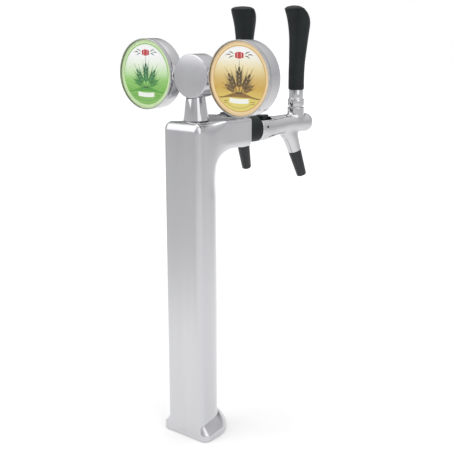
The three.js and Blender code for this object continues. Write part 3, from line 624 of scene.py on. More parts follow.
def arm_outline(top, underside, column_back, length):
    """An arm's side view as (along, height): its underside sweeps up from the column."""
    bend = column_back + ARM_BEND
    bend_height = underside - ARM_BEND
    points = [(0, bend_height - ARM_BLEND), (column_back, bend_height - ARM_BLEND)]
    points += arc(bend, bend_height, ARM_BEND, 180, 90, steps=24)
    points += [(length * share, underside) for share in ARM_STATIONS]
    points += [(length * step / ARM_STEPS, top) for step in range(ARM_STEPS, -1, -1)]
    return points


def arm_solid(name, sign, inset, length, flare):
    """An arm. With the flare its outer face runs out of the column's side without a step."""
    half = ARM_WIDTH / 2 - inset
    centre_along = -COLUMN_BACK * math.cos(SPLAY)
    centre_across = -COLUMN_BACK * math.sin(SPLAY)
    depths = [ARM_EDGE * (k / EDGE_STEPS) ** 2 for k in range(EDGE_STEPS + 1)]
    stations = [(-1, depth) for depth in depths] + [(1, depth) for depth in reversed(depths)]
    rings = []
    for side, depth in stations:
        across = side * (half - depth)
        lean = flare if side < 0 else 0
        root = across - lean * ARM_LENGTH
        reach = math.sqrt(max((COLUMN_HALF - inset) ** 2 - (root - centre_across) ** 2, 1))
        column_back = max(centre_along + reach, 1)
        top = SHOULDER - inset - rounding_drop(ARM_TOP_EDGE, depth)
        underside = SHOULDER - ARM_HEIGHT + inset + rounding_drop(ARM_EDGE, depth)
        outline = arm_outline(top, underside, column_back, length)
        rings.append([(x, sign * (across - lean * (ARM_LENGTH - x)), z) for x, z in outline])
    return loft(name, rings, arm_frame(sign))


def make_tower_body():
    tall = [column_ring(0, GAP)]
    for up, out in arc(0, 0, 1, 90, 0, steps=12):
        tall.append(column_ring(SHOULDER_INSET * (1 - out), SHOULDER - SHOULDER_DROP * (1 - up)))
    column = loft("column", tall, POST)
    foot = loft("foot", foot_rings(), POST)
    arms = [arm_solid("arm", sign, 0, ARM_LENGTH, ARM_FLARE) for sign in SIDES.values()]
    body = melt("tower_skin", [column, *arms], [foot], voxel=1.4, reach=15.0, rounds=220)

    high = SHOULDER - ARM_WALL
    cavity = [(WALL, -PAST), (WALL, high - WALL), (WALL * 4 / 3, high - WALL / 3), (WALL * 2, high)]
    tools = [loft("cavity", [column_ring(inset, height) for inset, height in cavity], POST)]
    for sign in SIDES.values():
        tools.append(arm_solid("hollow", sign, ARM_WALL, ARM_LENGTH - ARM_WALL, 0))
        axis = arm_frame(sign) @ Matrix.Translation((0, 0, TAP_HEIGHT))
        inner = ARM_LENGTH - 2 * ARM_WALL
        tools.append(hole("x", SHANK_HOLE, inner, ARM_LENGTH + PAST, axis))
    tools.append(hole("z", ROD_HOLE, SHOULDER - SHOULDER_PLATE, SHOULDER + PAST, POST))
    tools.append(block("clamp_slot", CLAMP_LOW, CLAMP_HIGH, POST))
    cut(body, *tools)
    settle(body, "satin_chrome", ["tower_body"], sharp=38)


# Post, hub and couplings

POST_FOOT_RADIUS = 16.35
POST_TOP_RADIUS = 12.4
POST_HEIGHT = 28.0
HUB_RADIUS = 27.0
HUB_DEPTH = 27.5
HUB_FRONT = -12.5
HUB_WALL = 3.0
HUB_DOME = 1.3
HUB_DOME_STEPS = 12
HUB_EDGE = 1.6
HUB_LIP = 1.5
HUB_DRILLED = 28.0
CAP_DEPTH = 3.0
COUPLING_SPAN = (20.0, 36.0)
COUPLING_RADIUS = 11.0
COUPLING_GROOVE = [(0.5, 11.0), (1.1, 10.0), (1.9, 10.0), (2.5, 11.0)]
BADGE_RADIUS = 45.0
CLEAR_HALF = 55.0


def clear_of(radius, place):
    """A tool that keeps a piece off a drum or badge of this radius."""
    return rod("clear", "y", radius + GAP, -CLEAR_HALF, CLEAR_HALF, place, FINE_ROUND)


def make_post():
    foot = SHOULDER + GAP
    top = HUB_HEIGHT - HUB_RADIUS / 2
    taper = (POST_FOOT_RADIUS - POST_TOP_RADIUS) / POST_HEIGHT
    narrow = POST_FOOT_RADIUS - taper * (top - SHOULDER)
    profile = [(foot, 0), (foot, POST_FOOT_RADIUS), (top, narrow), (top, 0)]
    post = lathe("post_skin", "z", soften(profile, radius=0.6), POST)
    bore = hole("z", ROD_HOLE, foot - PAST, top + PAST, POST)
    cut(post, clear_of(HUB_RADIUS, HUB), bore)
    settle(post, "bright_chrome", ["badge_post"])


def make_hub():
    front, back = HUB_FRONT, HUB_FRONT + HUB_DEPTH
    inner = HUB_RADIUS - HUB_WALL
    flat = HUB_RADIUS - HUB_EDGE
    shares = [k / HUB_DOME_STEPS for k in range(HUB_DOME_STEPS)]
    dome = [(front + HUB_DOME * share ** 2, share * flat) for share in shares]
    rim = arc(front + HUB_DOME + HUB_EDGE, flat, HUB_EDGE, 180, 90, steps=8)
    lip = back - HUB_LIP
    shell = soften([(lip, HUB_RADIUS), (back, HUB_RADIUS), (back, inner), (lip, inner)], radius=0.4)
    floor = [(front + HUB_WALL + HUB_DOME, inner), (front + HUB_WALL, 0)]
    drum = lathe("hub_skin", "y", dome + rim + shell + floor, HUB, FINE_ROUND)
    rod_hole = hole("z", ROD_HOLE, -HUB_DRILLED, 0, HUB)
    stud_hole = hole("x", ROD_HOLE, -HUB_DRILLED, HUB_DRILLED, HUB)
    settle(cut(drum, rod_hole, stud_hole), "bright_chrome", ["hub_drum"],
           material=MATERIALS["badge_chrome"])

    face, radius = back - CAP_DEPTH, inner - GAP
    profile = soften([(face, 0), (face, radius), (back, radius), (back, 0)], radius=0.7)
    cap = lathe("hub_cap_skin", "y", profile, HUB, FINE_ROUND)
    settle(cap, "bright_chrome", ["hub_back_cap"])


def make_coupling(name, sign):
    outwards = HUB if sign > 0 else HUB @ Matrix.Rotation(math.pi, 4, "Z")
    start, end = COUPLING_SPAN
    groove = [(HUB_RADIUS + along, radius) for along, radius in COUPLING_GROOVE]
    profile = [(start, ROD_HOLE), (start, COUPLING_RADIUS), *groove]
    profile += [(end, COUPLING_RADIUS), (end, ROD_HOLE), (start, ROD_HOLE)]
    collar = lathe(f"coupling_skin_{name}", "x", soften(profile, radius=0.25, steps=3), outwards)
    cut(collar, clear_of(HUB_RADIUS, HUB), clear_of(BADGE_RADIUS, badge_frame(sign)))
    settle(collar, "bright_chrome", [f"badge_coupling_{name}"])


# Badges. The motifs are drawn as outlines of (right, up) from the badge's centre.

LENS_SPAN = (1.1, 2.3)
LABEL_SPAN = (2.6, 3.4)
INK_SPAN = (LABEL_SPAN[0] - 0.12, LABEL_SPAN[0] - 0.02)
HOUSING_FRONT = 3.7
HOUSING_STEP = 5.3
HOUSING_FLOOR = 22.0
HOUSING_WALL = 2.5
HOUSING_SPIGOT = 43.9
BADGE_DEPTH = 24.5
BADGE_EDGE = 3.0
STUD_SPAN = (40.0, 46.0)
BEZEL = [(0, 43.8), (0, 44.6), (0.4, 45), (5, 45), (5, 44.2), (0.8, 44.2), (0.8, 43.8), (0, 43.8)]

PRINTS = {
    "left": {
        "slot": "green_label",
        "face": [(0.0, (0.27, 0.56, 0.14)), (0.28, (0.2, 0.52, 0.07)), (0.42, (0.32, 0.64, 0.16)),
                 (0.52, (0.6, 0.83, 0.46)), (0.66, (0.88, 0.95, 0.82)), (0.78, (1.0, 1.0, 1.0))],
        "rim": [(0.0, (1, 1, 1), 0), (0.855, (0.25, 0.56, 0.1), 1), (0.88, (0.71, 0.91, 0.51), 1),
                (0.985, (0.5, 0.74, 0.3), 1)],
        "ink": [(0.0, (0.09, 0.36, 0.03)), (0.25, (0.09, 0.38, 0.03)), (0.42, (0.03, 0.26, 0.05)),
                (0.62, (0.008, 0.12, 0.045)), (1.0, (0.004, 0.05, 0.025))],
    },
    "right": {
        "slot": "gold_label",
        "face": [(0.0, (0.84, 0.78, 0.2)), (0.2, (0.83, 0.7, 0.16)), (0.38, (0.68, 0.42, 0.06)),
                 (0.5, (0.74, 0.52, 0.16)), (0.64, (0.88, 0.76, 0.42)), (0.76, (0.97, 0.93, 0.78)),
                 (0.87, (1.0, 1.0, 0.99)), (1.0, (1.0, 1.0, 1.0))],
        "rim": [(0.0, (1, 1, 1), 0), (0.855, (0.7, 0.42, 0.09), 1), (0.88, (1.0, 0.76, 0.42), 1),
                (0.985, (0.82, 0.56, 0.26), 1)],
        "ink": [(0.0, (0.3, 0.16, 0.012)), (0.25, (0.3, 0.15, 0.012)), (0.45, (0.12, 0.07, 0.008)),
                (0.65, (0.05, 0.033, 0.008)), (1.0, (0.02, 0.016, 0.008))],
    },
}
PALE_INK = [(0.0, (0.93, 0.95, 0.86)), (1.0, (1.0, 1.0, 0.96))]
RED_INK = [(0.0, (0.42, 0.012, 0.012)), (1.0, (0.6, 0.016, 0.02))]

STEM_FOOT, STEM_TOP, STEM_OVERLAP = 0.45, 0.4, 0.4
GRAIN_LENGTH, GRAIN_WIDTH, GRAIN_TAPER = 4.3, 2.5, 0.35
GRAIN_LEAN, GRAIN_OUT, GRAIN_STEP = 0.42, 0.5, 2.9
BRISTLE_HALF, BRISTLE_OUT, BRISTLE_RISE = 0.25, 1.9, 5.5
TOP_GRAIN = (4.5, 2.4)
TOP_BRISTLE = [(-0.2, 4.8), (0.2, 4.8), (0, 10.5)]
# Ears as (lean, foot, stem, pairs of seeds, size)
MIDDLE_EAR = (0.0, (0, -17), 5.0, 4, 1.5)
SIDE_EARS = ((0.56, (-1.5, -17.5), 5.5, 3, 1.5), (1.08, (-1.5, -17.5), 5.5, 3, 1.2))
HILL_HALF, HILL_TOP, HILL_FALL = 31, -17.2, 0.004
HILL_WAVE, HILL_WAVE_LENGTH = 1.6, 7.5
HILL_UNDERSIDE = [(27.5, -23.2), (15.5, -21.6), (-15.5, -21.6), (-27.5, -23.2)]
# Rules beside the ribbon as (height, end), and leaves beside the barrel as (lean, foot)
RULE_WIDTH, RULE_START = 0.7, 16.5
RULES = ((-26.6, 22.808), (-28.8, 22.544))
LEAVES = ((1.95, (-8, 26.3)), (1.2, (-8, 28.0)), (1.57, (-12, 27.2)))
RIBBON_HALF, RIBBON_TOP, RIBBON_WIDTH, RIBBON_SAG = 14, -23.4, 5.6, 0.005
BARREL_MIDDLE, BARREL_HALF, BARREL_TAPER = 27.2, 3.9, 0.035
BARREL_STAVES = ((-6.2, -3.2), (-2.6, 2.6), (3.2, 6.2))


def turned(points, angle, shift):
    """Points turned about the origin and then moved."""
    cos, sin = math.cos(angle), math.sin(angle)
    return [(x * cos - z * sin + shift[0], x * sin + z * cos + shift[1]) for x, z in points]


def mirrored(shape):
    return [(-x, z) for x, z in reversed(shape)]


def grain(length, width):
    """A seed's outline, pointed at its top."""
    points = []
    for cos, sin in circle(20):
        slim = 1 - GRAIN_TAPER * max(sin, 0)
        points.append((width / 2 * slim * cos, length / 2 * (1 + sin)))
    return points


def barley_ear(lean, foot, stem, pairs, size):
    """Outlines of an ear of barley: a stem, seeds in pairs, and a long bristle on each seed."""
    top = stem + STEM_OVERLAP
    shapes = [[(-STEM_FOOT, 0), (STEM_FOOT, 0), (STEM_TOP, top), (-STEM_TOP, top)]]
    for i in range(pairs):
        for side in (-1, 1):
            seat = (side * GRAIN_OUT, stem + i * GRAIN_STEP)
            shapes.append(turned(grain(GRAIN_LENGTH, GRAIN_WIDTH), -side * GRAIN_LEAN, seat))
            x, z = turned([(0, GRAIN_LENGTH)], -side * GRAIN_LEAN, seat)[0]
            tip = (x + side * BRISTLE_OUT, z + BRISTLE_RISE)
            shapes.append([(x - BRISTLE_HALF, z), (x + BRISTLE_HALF, z), tip])
    for shape in (grain(*TOP_GRAIN), TOP_BRISTLE):
        shapes.append(turned(shape, 0, (0, stem + pairs * GRAIN_STEP)))
    return [turned([(x * size, z * size) for x, z in shape], lean, foot) for shape in shapes]


def leaf(lean, foot, length=8.5, width=1.7, taper=0.3, steps=12):
    outer = []
    for i in range(steps + 1):
        share = i / steps
        outer.append((width * math.sin(math.pi * share) * (1 - taper * share), length * share))
    inner = [(x / 4, z) for x, z in reversed(outer[1:-1])]
    return turned(outer + inner, lean, foot)


def diamonds(radius=34, start=243, end=297, count=11, size=1.1):
    """Small diamonds along an arc."""
    diamond = [(-size, 0), (0, -size / 2), (size, 0), (0, size / 2)]
    return [turned(diamond, math.atan2(z, x), (x, z))
            for x, z in arc(0, 0, radius, start, end, count - 1)]


def field_layout():
    """Five ears on a hill, thin rules beside the ribbon, and a row of diamonds."""
    shapes = barley_ear(*MIDDLE_EAR)
    for row in SIDE_EARS:
        ear = barley_ear(*row)
        shapes += ear + [mirrored(shape) for shape in ear]
    crest = [(x, HILL_TOP + HILL_WAVE * math.cos(x / HILL_WAVE_LENGTH) - HILL_FALL * x * x)
             for x in np.linspace(-HILL_HALF, HILL_HALF, 41)]
    shapes.append(crest + HILL_UNDERSIDE)
    for low, end in RULES:
        high = low + RULE_WIDTH
        rule = [(RULE_START, low), (end, low), (end, high), (RULE_START, high)]
        shapes += [rule, mirrored(rule)]
    shapes += diamonds()
    for lean, foot in LEAVES:
        shapes += [leaf(lean, foot), mirrored(leaf(lean, foot))]
    return shapes


def ribbon_layout():
    """A plain pale ribbon under the ears."""
    across = np.linspace(-RIBBON_HALF, RIBBON_HALF, 15)
    top = [(x, RIBBON_TOP + RIBBON_SAG * x * x) for x in across]
    return [top + [(x, z - RIBBON_WIDTH) for x, z in reversed(top)]]


def barrel_layout():
    """A lying barrel in three parts, with gaps for its hoops."""
    shapes = []
    for low, high in BARREL_STAVES:
        top = [(x, BARREL_HALF - BARREL_TAPER * x * x) for x in np.linspace(low, high, 7)]
        shapes.append([(x, BARREL_MIDDLE + z) for x, z in top]
                      + [(x, BARREL_MIDDLE - z) for x, z in reversed(top)])
    return shapes


def print_piece(name, shapes, place):
    """Thin prisms of ink on the label."""
    low, high = INK_SPAN
    points, faces = [], []
    for shape in shapes:
        base, count = len(points), len(shape)
        points += [(x, low, z) for x, z in shape] + [(x, high, z) for x, z in shape]
        prism = [range(count), range(2 * count - 1, count - 1, -1), *tube_faces(2, count)]
        faces += [[base + i for i in face] for face in prism]
    return mesh_object(name, points, faces, place)


def make_disc(name, span, place, edge):
    front, back = span
    profile = [(front, 0), (front, LABEL_RADIUS), (back, LABEL_RADIUS), (back, 0)]
    return lathe(name, "y", soften(profile, edge, steps=2), place, FINE_ROUND)


def make_badge(name, sign):
    place = badge_frame(sign)
    inner = BADGE_RADIUS - HOUSING_WALL
    edge = arc(BADGE_DEPTH - BADGE_EDGE, BADGE_RADIUS - BADGE_EDGE, BADGE_EDGE, 90, 0, steps=8)
    profile = [(HOUSING_FRONT, inner), (HOUSING_FRONT, HOUSING_SPIGOT),
               (HOUSING_STEP, HOUSING_SPIGOT), (HOUSING_STEP, BADGE_RADIUS), *edge,
               (BADGE_DEPTH, 0), (HOUSING_FLOOR, 0), (HOUSING_FLOOR, inner), (HOUSING_FRONT, inner)]
    rounded = soften(profile, radius=0.3, steps=3)
    housing = lathe(f"housing_skin_{name}", "y", rounded, place, FINE_ROUND)
    inwards = Matrix.Rotation(0 if sign < 0 else math.pi, 4, "Z")
    stud_axis = place @ Matrix.Translation((0, -BADGE_Y, 0)) @ inwards
    settle(cut(housing, hole("x", ROD_HOLE, *STUD_SPAN, stud_axis)), "bright_chrome",
           [f"badge_housing_{name}"], material=MATERIALS["badge_chrome"])

    bezel = lathe(f"bezel_skin_{name}", "y", soften(BEZEL, radius=0.15, steps=3), place, FINE_ROUND)
    settle(bezel, "bezel_metal", [f"badge_bezel_{name}"])

    art = PRINTS[name]
    slot, centre = art["slot"], place.translation * MM
    label = make_disc(f"label_skin_{name}", LABEL_SPAN, place, edge=0.1)
    settle(label, slot, [f"badge_label_{name}"],
           material=printed(f"{slot}_print", centre, art["face"], art["rim"]))
    for motif, shapes, ink in (
        ("field", field_layout(), art["ink"]),
        ("ribbon", ribbon_layout(), PALE_INK),
        ("barrel", barrel_layout(), RED_INK),
    ):
        piece = print_piece(f"badge_{motif}_{name}", shapes, place)
        settle(piece, slot, material=printed(f"{slot}_{motif}", centre, ink))

    lens = make_disc(f"lens_skin_{name}", LENS_SPAN, place, edge=0.15)
    settle(lens, "clear_lens", [f"badge_lens_{name}"])


# Taps. In a tap's frame +X runs along the barrel to its nose, and the lever stands at X = 0.

TAIL = 70.0
NOSE = 26.3
TAP_RADIUS = 12.7
TAP_RISE = 2.4
NOSE_ROUNDING = 11.0
NOSE_TIP = 0.5
FLANGE_RADIUS = 17.0
FLANGE_CHAMFER = 0.8
PIVOT = 20.0
BOSS_RADIUS = 11.4
DOME_RADIUS = 12.1
BALL_RADIUS = 7.0
TILT = math.radians(21.8)

SHANK_DEPTH = 12.0
CHAMBER_RADIUS = 8.0
CHAMBER_END = -34.5
VALVE_BORE = 6.3
VALVE_BORE_END = 16.0
SOCKET_RADIUS = 9.3
SOCKET_FLOOR = 11.7
PASSAGE = (11.1, 2.6, 12.0)
OUTLET_RADIUS = 4.0
CONTROL_PLACE = 53.5
CONTROL_FLAT = 11.3
CONTROL_CLEAR = 4.4
CONTROL_HOLE = 3.3
SCREW_HOLE = 1.6
SCREW_PLACE = (-62.0, 0, 3.0)

NOZZLE_ROOT = 14.9
NOZZLE_RADIUS = 9.0
NOZZLE_LENGTH = 38.5
NOZZLE_END = (6.8, 6.2)
NOZZLE_EDGE = 0.7
NOZZLE_BORE = 4.5
NOZZLE_SOCKET = 6.0
SPIGOT_RADIUS = 5.7
SPIGOT_LENGTH = 10.0
BRANCH_LENGTH = 37.9
BRANCH_REACH = 17.0
BRANCH_HALF = 10.0

COLLAR_RADIUS = 17.2
COLLAR_LENGTH = 20.0
BONNET_FOOT = 14.0
BONNET_RADIUS = 9.0
BONNET_SLOT = 3.2
LEVER_SWING = math.radians(25)
SEAL_FOOT = 12.0
SEAL_RADIUS = 6.2
SKIRT_GAP = 0.4
STEM_HOLE = 3.1

# The flange and barrel as (along, radius, rise of the middle)
FLANGE = [
    (-69.2, 17.0, 0.0), (-60, 16.8, -0.2), (-54, 16.0, -0.4), (-48, 14.95, -0.25),
    (-42, 14.1, 0.3), (-36, 13.45, 0.85), (-30, 13.05, 1.45), (-24, 12.8, 2.0),
    (-18, TAP_RADIUS, TAP_RISE),
]
# The outlet branch as shares of (length, reach, half width)
BRANCH = [
    (0, 1, 1), (0.2, 0.95, 1), (0.32, 0.8, 1), (0.42, 0.7, 1), (0.54, 0.64, 0.99),
    (0.72, 0.59, 0.96), (1, 9.15 / BRANCH_REACH, 0.915),
]
# The ferrule over the bonnet as (height, radius)
FERRULE = [
    (26.5, 11.1), (27.3, 11.3), (34.7, 11.3), (35.5, 9.8), (36.3, 9.8), (36.9, 9.5), (37.5, 9.8),
    (47.8, 9.8), (47.8, STEM_HOLE),
]
# The handle turns from round to a little square over a span of shares of its height
HANDLE_FOOT = 48.1
HANDLE_LENGTH = 110.3
HANDLE_SOCKET_TOP = 64.1
SQUARENESS = 0.1
SQUARE_FROM, SQUARE_SPAN = 0.3, 0.6
# Its sections as (share of its height, reach to the front, reach to the back, half width)
HANDLE_BASE = (0, 9.9, 9.9, 9.9)
HANDLE_GRIP = [
    (0.008, 10.7, 10.7, 10.7), (0.13, 10.8, 10.5, 10.7), (0.228, 10.8, 10.8, 10.8),
    (0.324, 10.5, 11.4, 11), (0.42, 10.2, 12.6, 11.5), (0.516, 9.9, 13.9, 12.2),
    (0.61, 9.7, 15.1, 12.9), (0.71, 10.2, 16.2, 14.2), (0.764, 10.8, 16.7, 15),
    (0.82, 11.4, 15.9, 16), (0.866, 12.1, 13.6, 16.8), (0.89, 12.5, 11.6, 17.1),
    (0.915, 13.2, 9.2, 17.3), (0.938, 13.8, 6, 17.3), (0.962, 14.4, 2.8, 17),
]
HANDLE_TOP = [
    HANDLE_GRIP[-1], (0.974, 12.7, -0.4, 15.7), (0.985, 10.6, -3.4, 13.7),
    (0.994, 8.7, -5.2, 9.4), (1, 7.2, -6.8, 1.5),
]

CONTROL_REACH = 15.0
CONTROL_CORNER = 2.0
CONTROL_HUB = 4.0
CONTROL_SPREAD = 36.0
CONTROL_THICKNESS = 5.6
CONTROL_EDGE = 0.9
CONTROL_SOCKET = (2.5, 3.3)


def hang(sign):
    """The nozzle's frame: +Z runs down and outwards from the tap."""
    root = Matrix.Translation((-NOZZLE_ROOT, 0, 0))
    return tap_frame(sign) @ root @ Matrix.Rotation(math.pi - TILT, 4, "Y")


def control_frame(sign):
    return tap_frame(sign) @ Matrix.Translation((-CONTROL_PLACE, 0, 0))


def barrel_solid(sign):
    stations = [(-TAIL, FLANGE_RADIUS - FLANGE_CHAMFER, 0), *through(FLANGE, 4)]
    rounding = arc(NOSE - NOSE_ROUNDING, TAP_RADIUS - NOSE_ROUNDING, NOSE_ROUNDING, 90, 0, steps=12)
    stations += [(x, radius, TAP_RISE) for x, radius in rounding]
    stations.append((NOSE, NOSE_TIP, TAP_RISE))
    rings = [[(x, radius * cos, rise + radius * sin) for cos, sin in circle()]
             for x, radius, rise in stations]
    return loft("barrel", rings, tap_frame(sign))


def branch_solid(sign):
    rings = [[(BRANCH_REACH * reach * cos, BRANCH_HALF * width * sin, BRANCH_LENGTH * along)
              for cos, sin in circle()]
             for along, reach, width in relax(BRANCH, rounds=2)]
    return loft("branch", rings, hang(sign))


def make_tap_body(name, sign):
    place = tap_frame(sign)
    shoulder = PIVOT + math.sqrt(DOME_RADIUS ** 2 - BOSS_RADIUS ** 2)
    boss = rod("boss", "z", BOSS_RADIUS, 0, shoulder, place)
    body = melt(f"tap_skin_{name}", [barrel_solid(sign), boss, branch_solid(sign)], [],
                voxel=0.65, reach=6.0, rounds=90)
    end = BRANCH_LENGTH + SPIGOT_LENGTH
    spigot = rod("spigot", "z", SPIGOT_RADIUS, BRANCH_LENGTH / 2, end, hang(sign), SMALL_ROUND)
    combine(body, [spigot], "UNION")

    tail, beyond = -TAIL - PAST, FLANGE_RADIUS + PAST
    bore = [(tail, 0)]
    for radius, until in ((SHANK_HOLE, SHANK_DEPTH - TAIL), (CHAMBER_RADIUS, CHAMBER_END),
                          (VALVE_BORE, VALVE_BORE_END)):
        bore += [(bore[-1][0], radius), (until, radius)]
    bore.append((VALVE_BORE_END, 0))
    reach, half, height = PASSAGE
    flat_end = CONTROL_CLEAR - CONTROL_PLACE
    cut(
        body,
        lathe("bore", "x", bore, place, SMALL_ROUND),
        hole("z", SOCKET_RADIUS, SOCKET_FLOOR, shoulder + PAST, place),
        block("passage", (-reach, -half, 0), (reach, half, height), place),
        hole("z", OUTLET_RADIUS, 0, end + PAST, hang(sign)),
        block("flat", (tail, -beyond, CONTROL_FLAT), (flat_end, beyond, beyond), place),
        hole("z", CONTROL_HOLE, 0, beyond, control_frame(sign)),
        hole("y", SCREW_HOLE, -beyond, 0, place @ Matrix.Translation(SCREW_PLACE)),
    )
    settle(body, "bright_chrome", [f"tap_body_{name}"], sharp=38)


def make_nozzle(name, sign):
    top, end = BRANCH_LENGTH + GAP, BRANCH_LENGTH + NOZZLE_LENGTH
    wide, narrow = NOZZLE_END
    seat = top + SPIGOT_LENGTH
    profile = [(top, NOZZLE_SOCKET), (top, NOZZLE_RADIUS), (end - NOZZLE_EDGE, wide),
               (end, narrow), (end, NOZZLE_BORE), (seat, NOZZLE_BORE), (seat, NOZZLE_SOCKET),
               (top, NOZZLE_SOCKET)]
    tip = lathe(f"nozzle_skin_{name}", "z", soften(profile, radius=0.5), hang(sign))
    settle(tip, "nozzle_plastic", [f"nozzle_tip_{name}"])


def make_collar(name, sign):
    back, front = -TAIL - COLLAR_LENGTH + GAP, -TAIL - GAP
    profile = [(back, SHANK_HOLE), (back, COLLAR_RADIUS), (front, COLLAR_RADIUS),
               (front, SHANK_HOLE), (back, SHANK_HOLE)]
    rounded = soften(profile, radius=1.1, steps=6)
    collar = lathe(f"collar_skin_{name}", "x", rounded, tap_frame(sign))
    settle(collar, "black_plastic", [f"collar_ring_{name}"])


def ball_arc(radius, start, end, steps):
    """An arc about the lever's pivot, from one distance from the lever's axis to another."""
    angles = [math.degrees(math.asin(across / radius)) for across in (start, end)]
    return arc(PIVOT, 0, radius, *angles, steps)


def make_bonnet(name, sign):
    place = tap_frame(sign)
    cavity = BALL_RADIUS + GAP
    profile = [(BONNET_FOOT, cavity), (BONNET_FOOT, BONNET_RADIUS)]
    profile += ball_arc(DOME_RADIUS, BONNET_RADIUS, BONNET_SLOT, steps=12)
    profile += ball_arc(cavity, BONNET_SLOT, cavity, steps=14) + [(BONNET_FOOT, cavity)]
    body = lathe(f"bonnet_skin_{name}", "z", profile, place)
    reach = DOME_RADIUS * math.sin(LEVER_SWING + math.asin(BONNET_SLOT / DOME_RADIUS))
    top = PIVOT + 2 * DOME_RADIUS
    slot = block("slot", (-reach, -BONNET_SLOT, PIVOT), (reach, BONNET_SLOT, top), place)
    settle(cut(body, slot), "bright_chrome", [f"bonnet_{name}"])


def make_lever_seal(name, sign):
    """The ring under the ball. The lever's finger swings through it with 0.5 mm to spare."""
    seat, outer = BALL_RADIUS + GAP, BALL_RADIUS
    outer_top, inner_top = (PIVOT - math.sqrt(seat ** 2 - r ** 2) for r in (outer, SEAL_RADIUS))
    profile = [(SEAL_FOOT, SEAL_RADIUS), (SEAL_FOOT, outer), (outer_top, outer),
               (inner_top, SEAL_RADIUS), (SEAL_FOOT, SEAL_RADIUS)]
    seal = lathe(f"seal_skin_{name}", "z", soften(profile, radius=0.15, steps=3), tap_frame(sign))
    settle(seal, "seal_rubber", [f"lever_seal_{name}"])


def squared(value, power):
    """A power that keeps the sign."""
    return math.copysign(abs(value) ** power, value)


def make_lever(name, sign):
    place = tap_frame(sign)
    body = f"lever_{name}"
    under = DOME_RADIUS + SKIRT_GAP
    foot = math.sqrt(under ** 2 - (FERRULE[0][0] - PIVOT) ** 2)
    skirt = ball_arc(under, STEM_HOLE, foot, steps=15)
    profile = skirt + soften([*FERRULE, skirt[0]], radius=0.25, steps=3)
    ferrule = lathe(f"ferrule_skin_{name}", "z", profile, place)
    settle(ferrule, "bright_chrome", [f"lever_ferrule_{name}"], body)

    rings = []
    stations = [HANDLE_BASE, *through(HANDLE_GRIP), *through(HANDLE_TOP)[1:]]
    for height, front, back, side in stations:
        share = min(max((height - SQUARE_FROM) / SQUARE_SPAN, 0), 1)
        power = 1 - SQUARENESS * ease(share)
        middle, half = (back - front) / 2, (back + front) / 2
        level = HANDLE_FOOT + HANDLE_LENGTH * height
        rings.append([(middle + half * squared(cos, power), side * squared(sin, power), level)
                      for cos, sin in circle()])
    handle = loft(f"handle_skin_{name}", rings, place)
    cut(handle, hole("z", STEM_HOLE, HANDLE_FOOT - PAST, HANDLE_SOCKET_TOP, place))
    settle(handle, "black_plastic", [f"lever_handle_{name}"], body, sharp=50)


def control_outline(shrink):
    """The fan's outline: its hub, two straight sides and a round end."""
    far = CONTROL_REACH - CONTROL_CORNER
    spread = math.radians(CONTROL_SPREAD)
    side = CONTROL_SPREAD + math.degrees(math.acos((CONTROL_HUB - CONTROL_CORNER) / far))
    x, y = far * math.cos(spread), far * math.sin(spread)
    corner = CONTROL_CORNER - shrink
    outline = arc(0, 0, CONTROL_HUB - shrink, side, 360 - side, steps=24)
    outline += arc(x, -y, corner, -side, -CONTROL_SPREAD, steps=8)
    outline += arc(0, 0, CONTROL_REACH - shrink, -CONTROL_SPREAD, CONTROL_SPREAD, steps=20)
    outline += arc(x, y, corner, CONTROL_SPREAD, side, steps=8)
    return outline


def make_control(name, sign):
    """The fan-shaped lever of the flow control, with rounded edges."""
    low = CONTROL_FLAT + GAP
    high = low + CONTROL_THICKNESS
    rings = []
    for level, start, end in ((low + CONTROL_EDGE, 270, 180), (high - CONTROL_EDGE, 180, 90)):
        for inset, rise in arc(0, 0, CONTROL_EDGE, start, end, steps=5):
            outline = control_outline(CONTROL_EDGE + inset)
            rings.append([(-x, -y, level + rise) for x, y in outline])
    place = control_frame(sign)
    lever = loft(f"control_skin_{name}", rings, place)
    radius, depth = CONTROL_SOCKET
    cut(lever, hole("z", radius, low - PAST, low + depth, place))
    settle(lever, "black_plastic", [f"control_lever_{name}"], f"control_{name}", sharp=50)


# Light, floor and background

# The white paper's direction, then sectors as (nothing from here, full from here)
BACKDROP = (-0.6153, 0.7883, 0)
BACKDROP_EDGE = (0.62, 0.8)
BACKDROP_TOP = (0.075, 0.05)
ROOM_RIGHT = (0.0, 0.45)
ROOM_FRONT = (0.0, -0.4)
ROOM_FRONT_SHARE = 0.8
FLOOR_LEFT = (0.4, -0.3)
FLOOR_FRONT = (0.35, -0.05)
LAMP_AIM = (0, 0, 0.3)
LAMPS = (
    ("key", (-1.1, -1.5, 1.7), (2.1, 2.5), 16.6),
    ("fill", (1.7, -0.6, 1.2), (1.3, 1.9), 6),
    ("top", (0, 0.3, 2.2), (1.8, 1.8), 10.5),
)
# The room by height, from straight down (0) to straight up (1): at the back left, and elsewhere
ROOM = [
    (0.0, (0.69, 0.69, 0.69)), (0.49, (0.66, 0.66, 0.67)), (0.52, (0.58, 0.58, 0.59)),
    (0.55, (0.18, 0.18, 0.19)), (0.61, (0.18, 0.18, 0.19)), (0.68, (0.43, 0.43, 0.44)),
    (0.75, (0.69, 0.69, 0.7)), (0.88, (0.85, 0.85, 0.85)), (1.0, (0.76, 0.76, 0.76)),
]
BRIGHT_ROOM = [
    (0.0, (0.69, 0.69, 0.69)), (0.49, (0.68, 0.68, 0.69)), (0.55, (0.6, 0.6, 0.61)),
    (0.7, (0.72, 0.72, 0.73)), (0.88, (0.85, 0.85, 0.85)), (1.0, (0.76, 0.76, 0.76)),
]
FLOOR_HALF = 10.0
FLOOR_LOW, FLOOR_HIGH = -10, -0.2


def greys(*stops):
    return [(place, (level,) * 3) for place, level in stops]


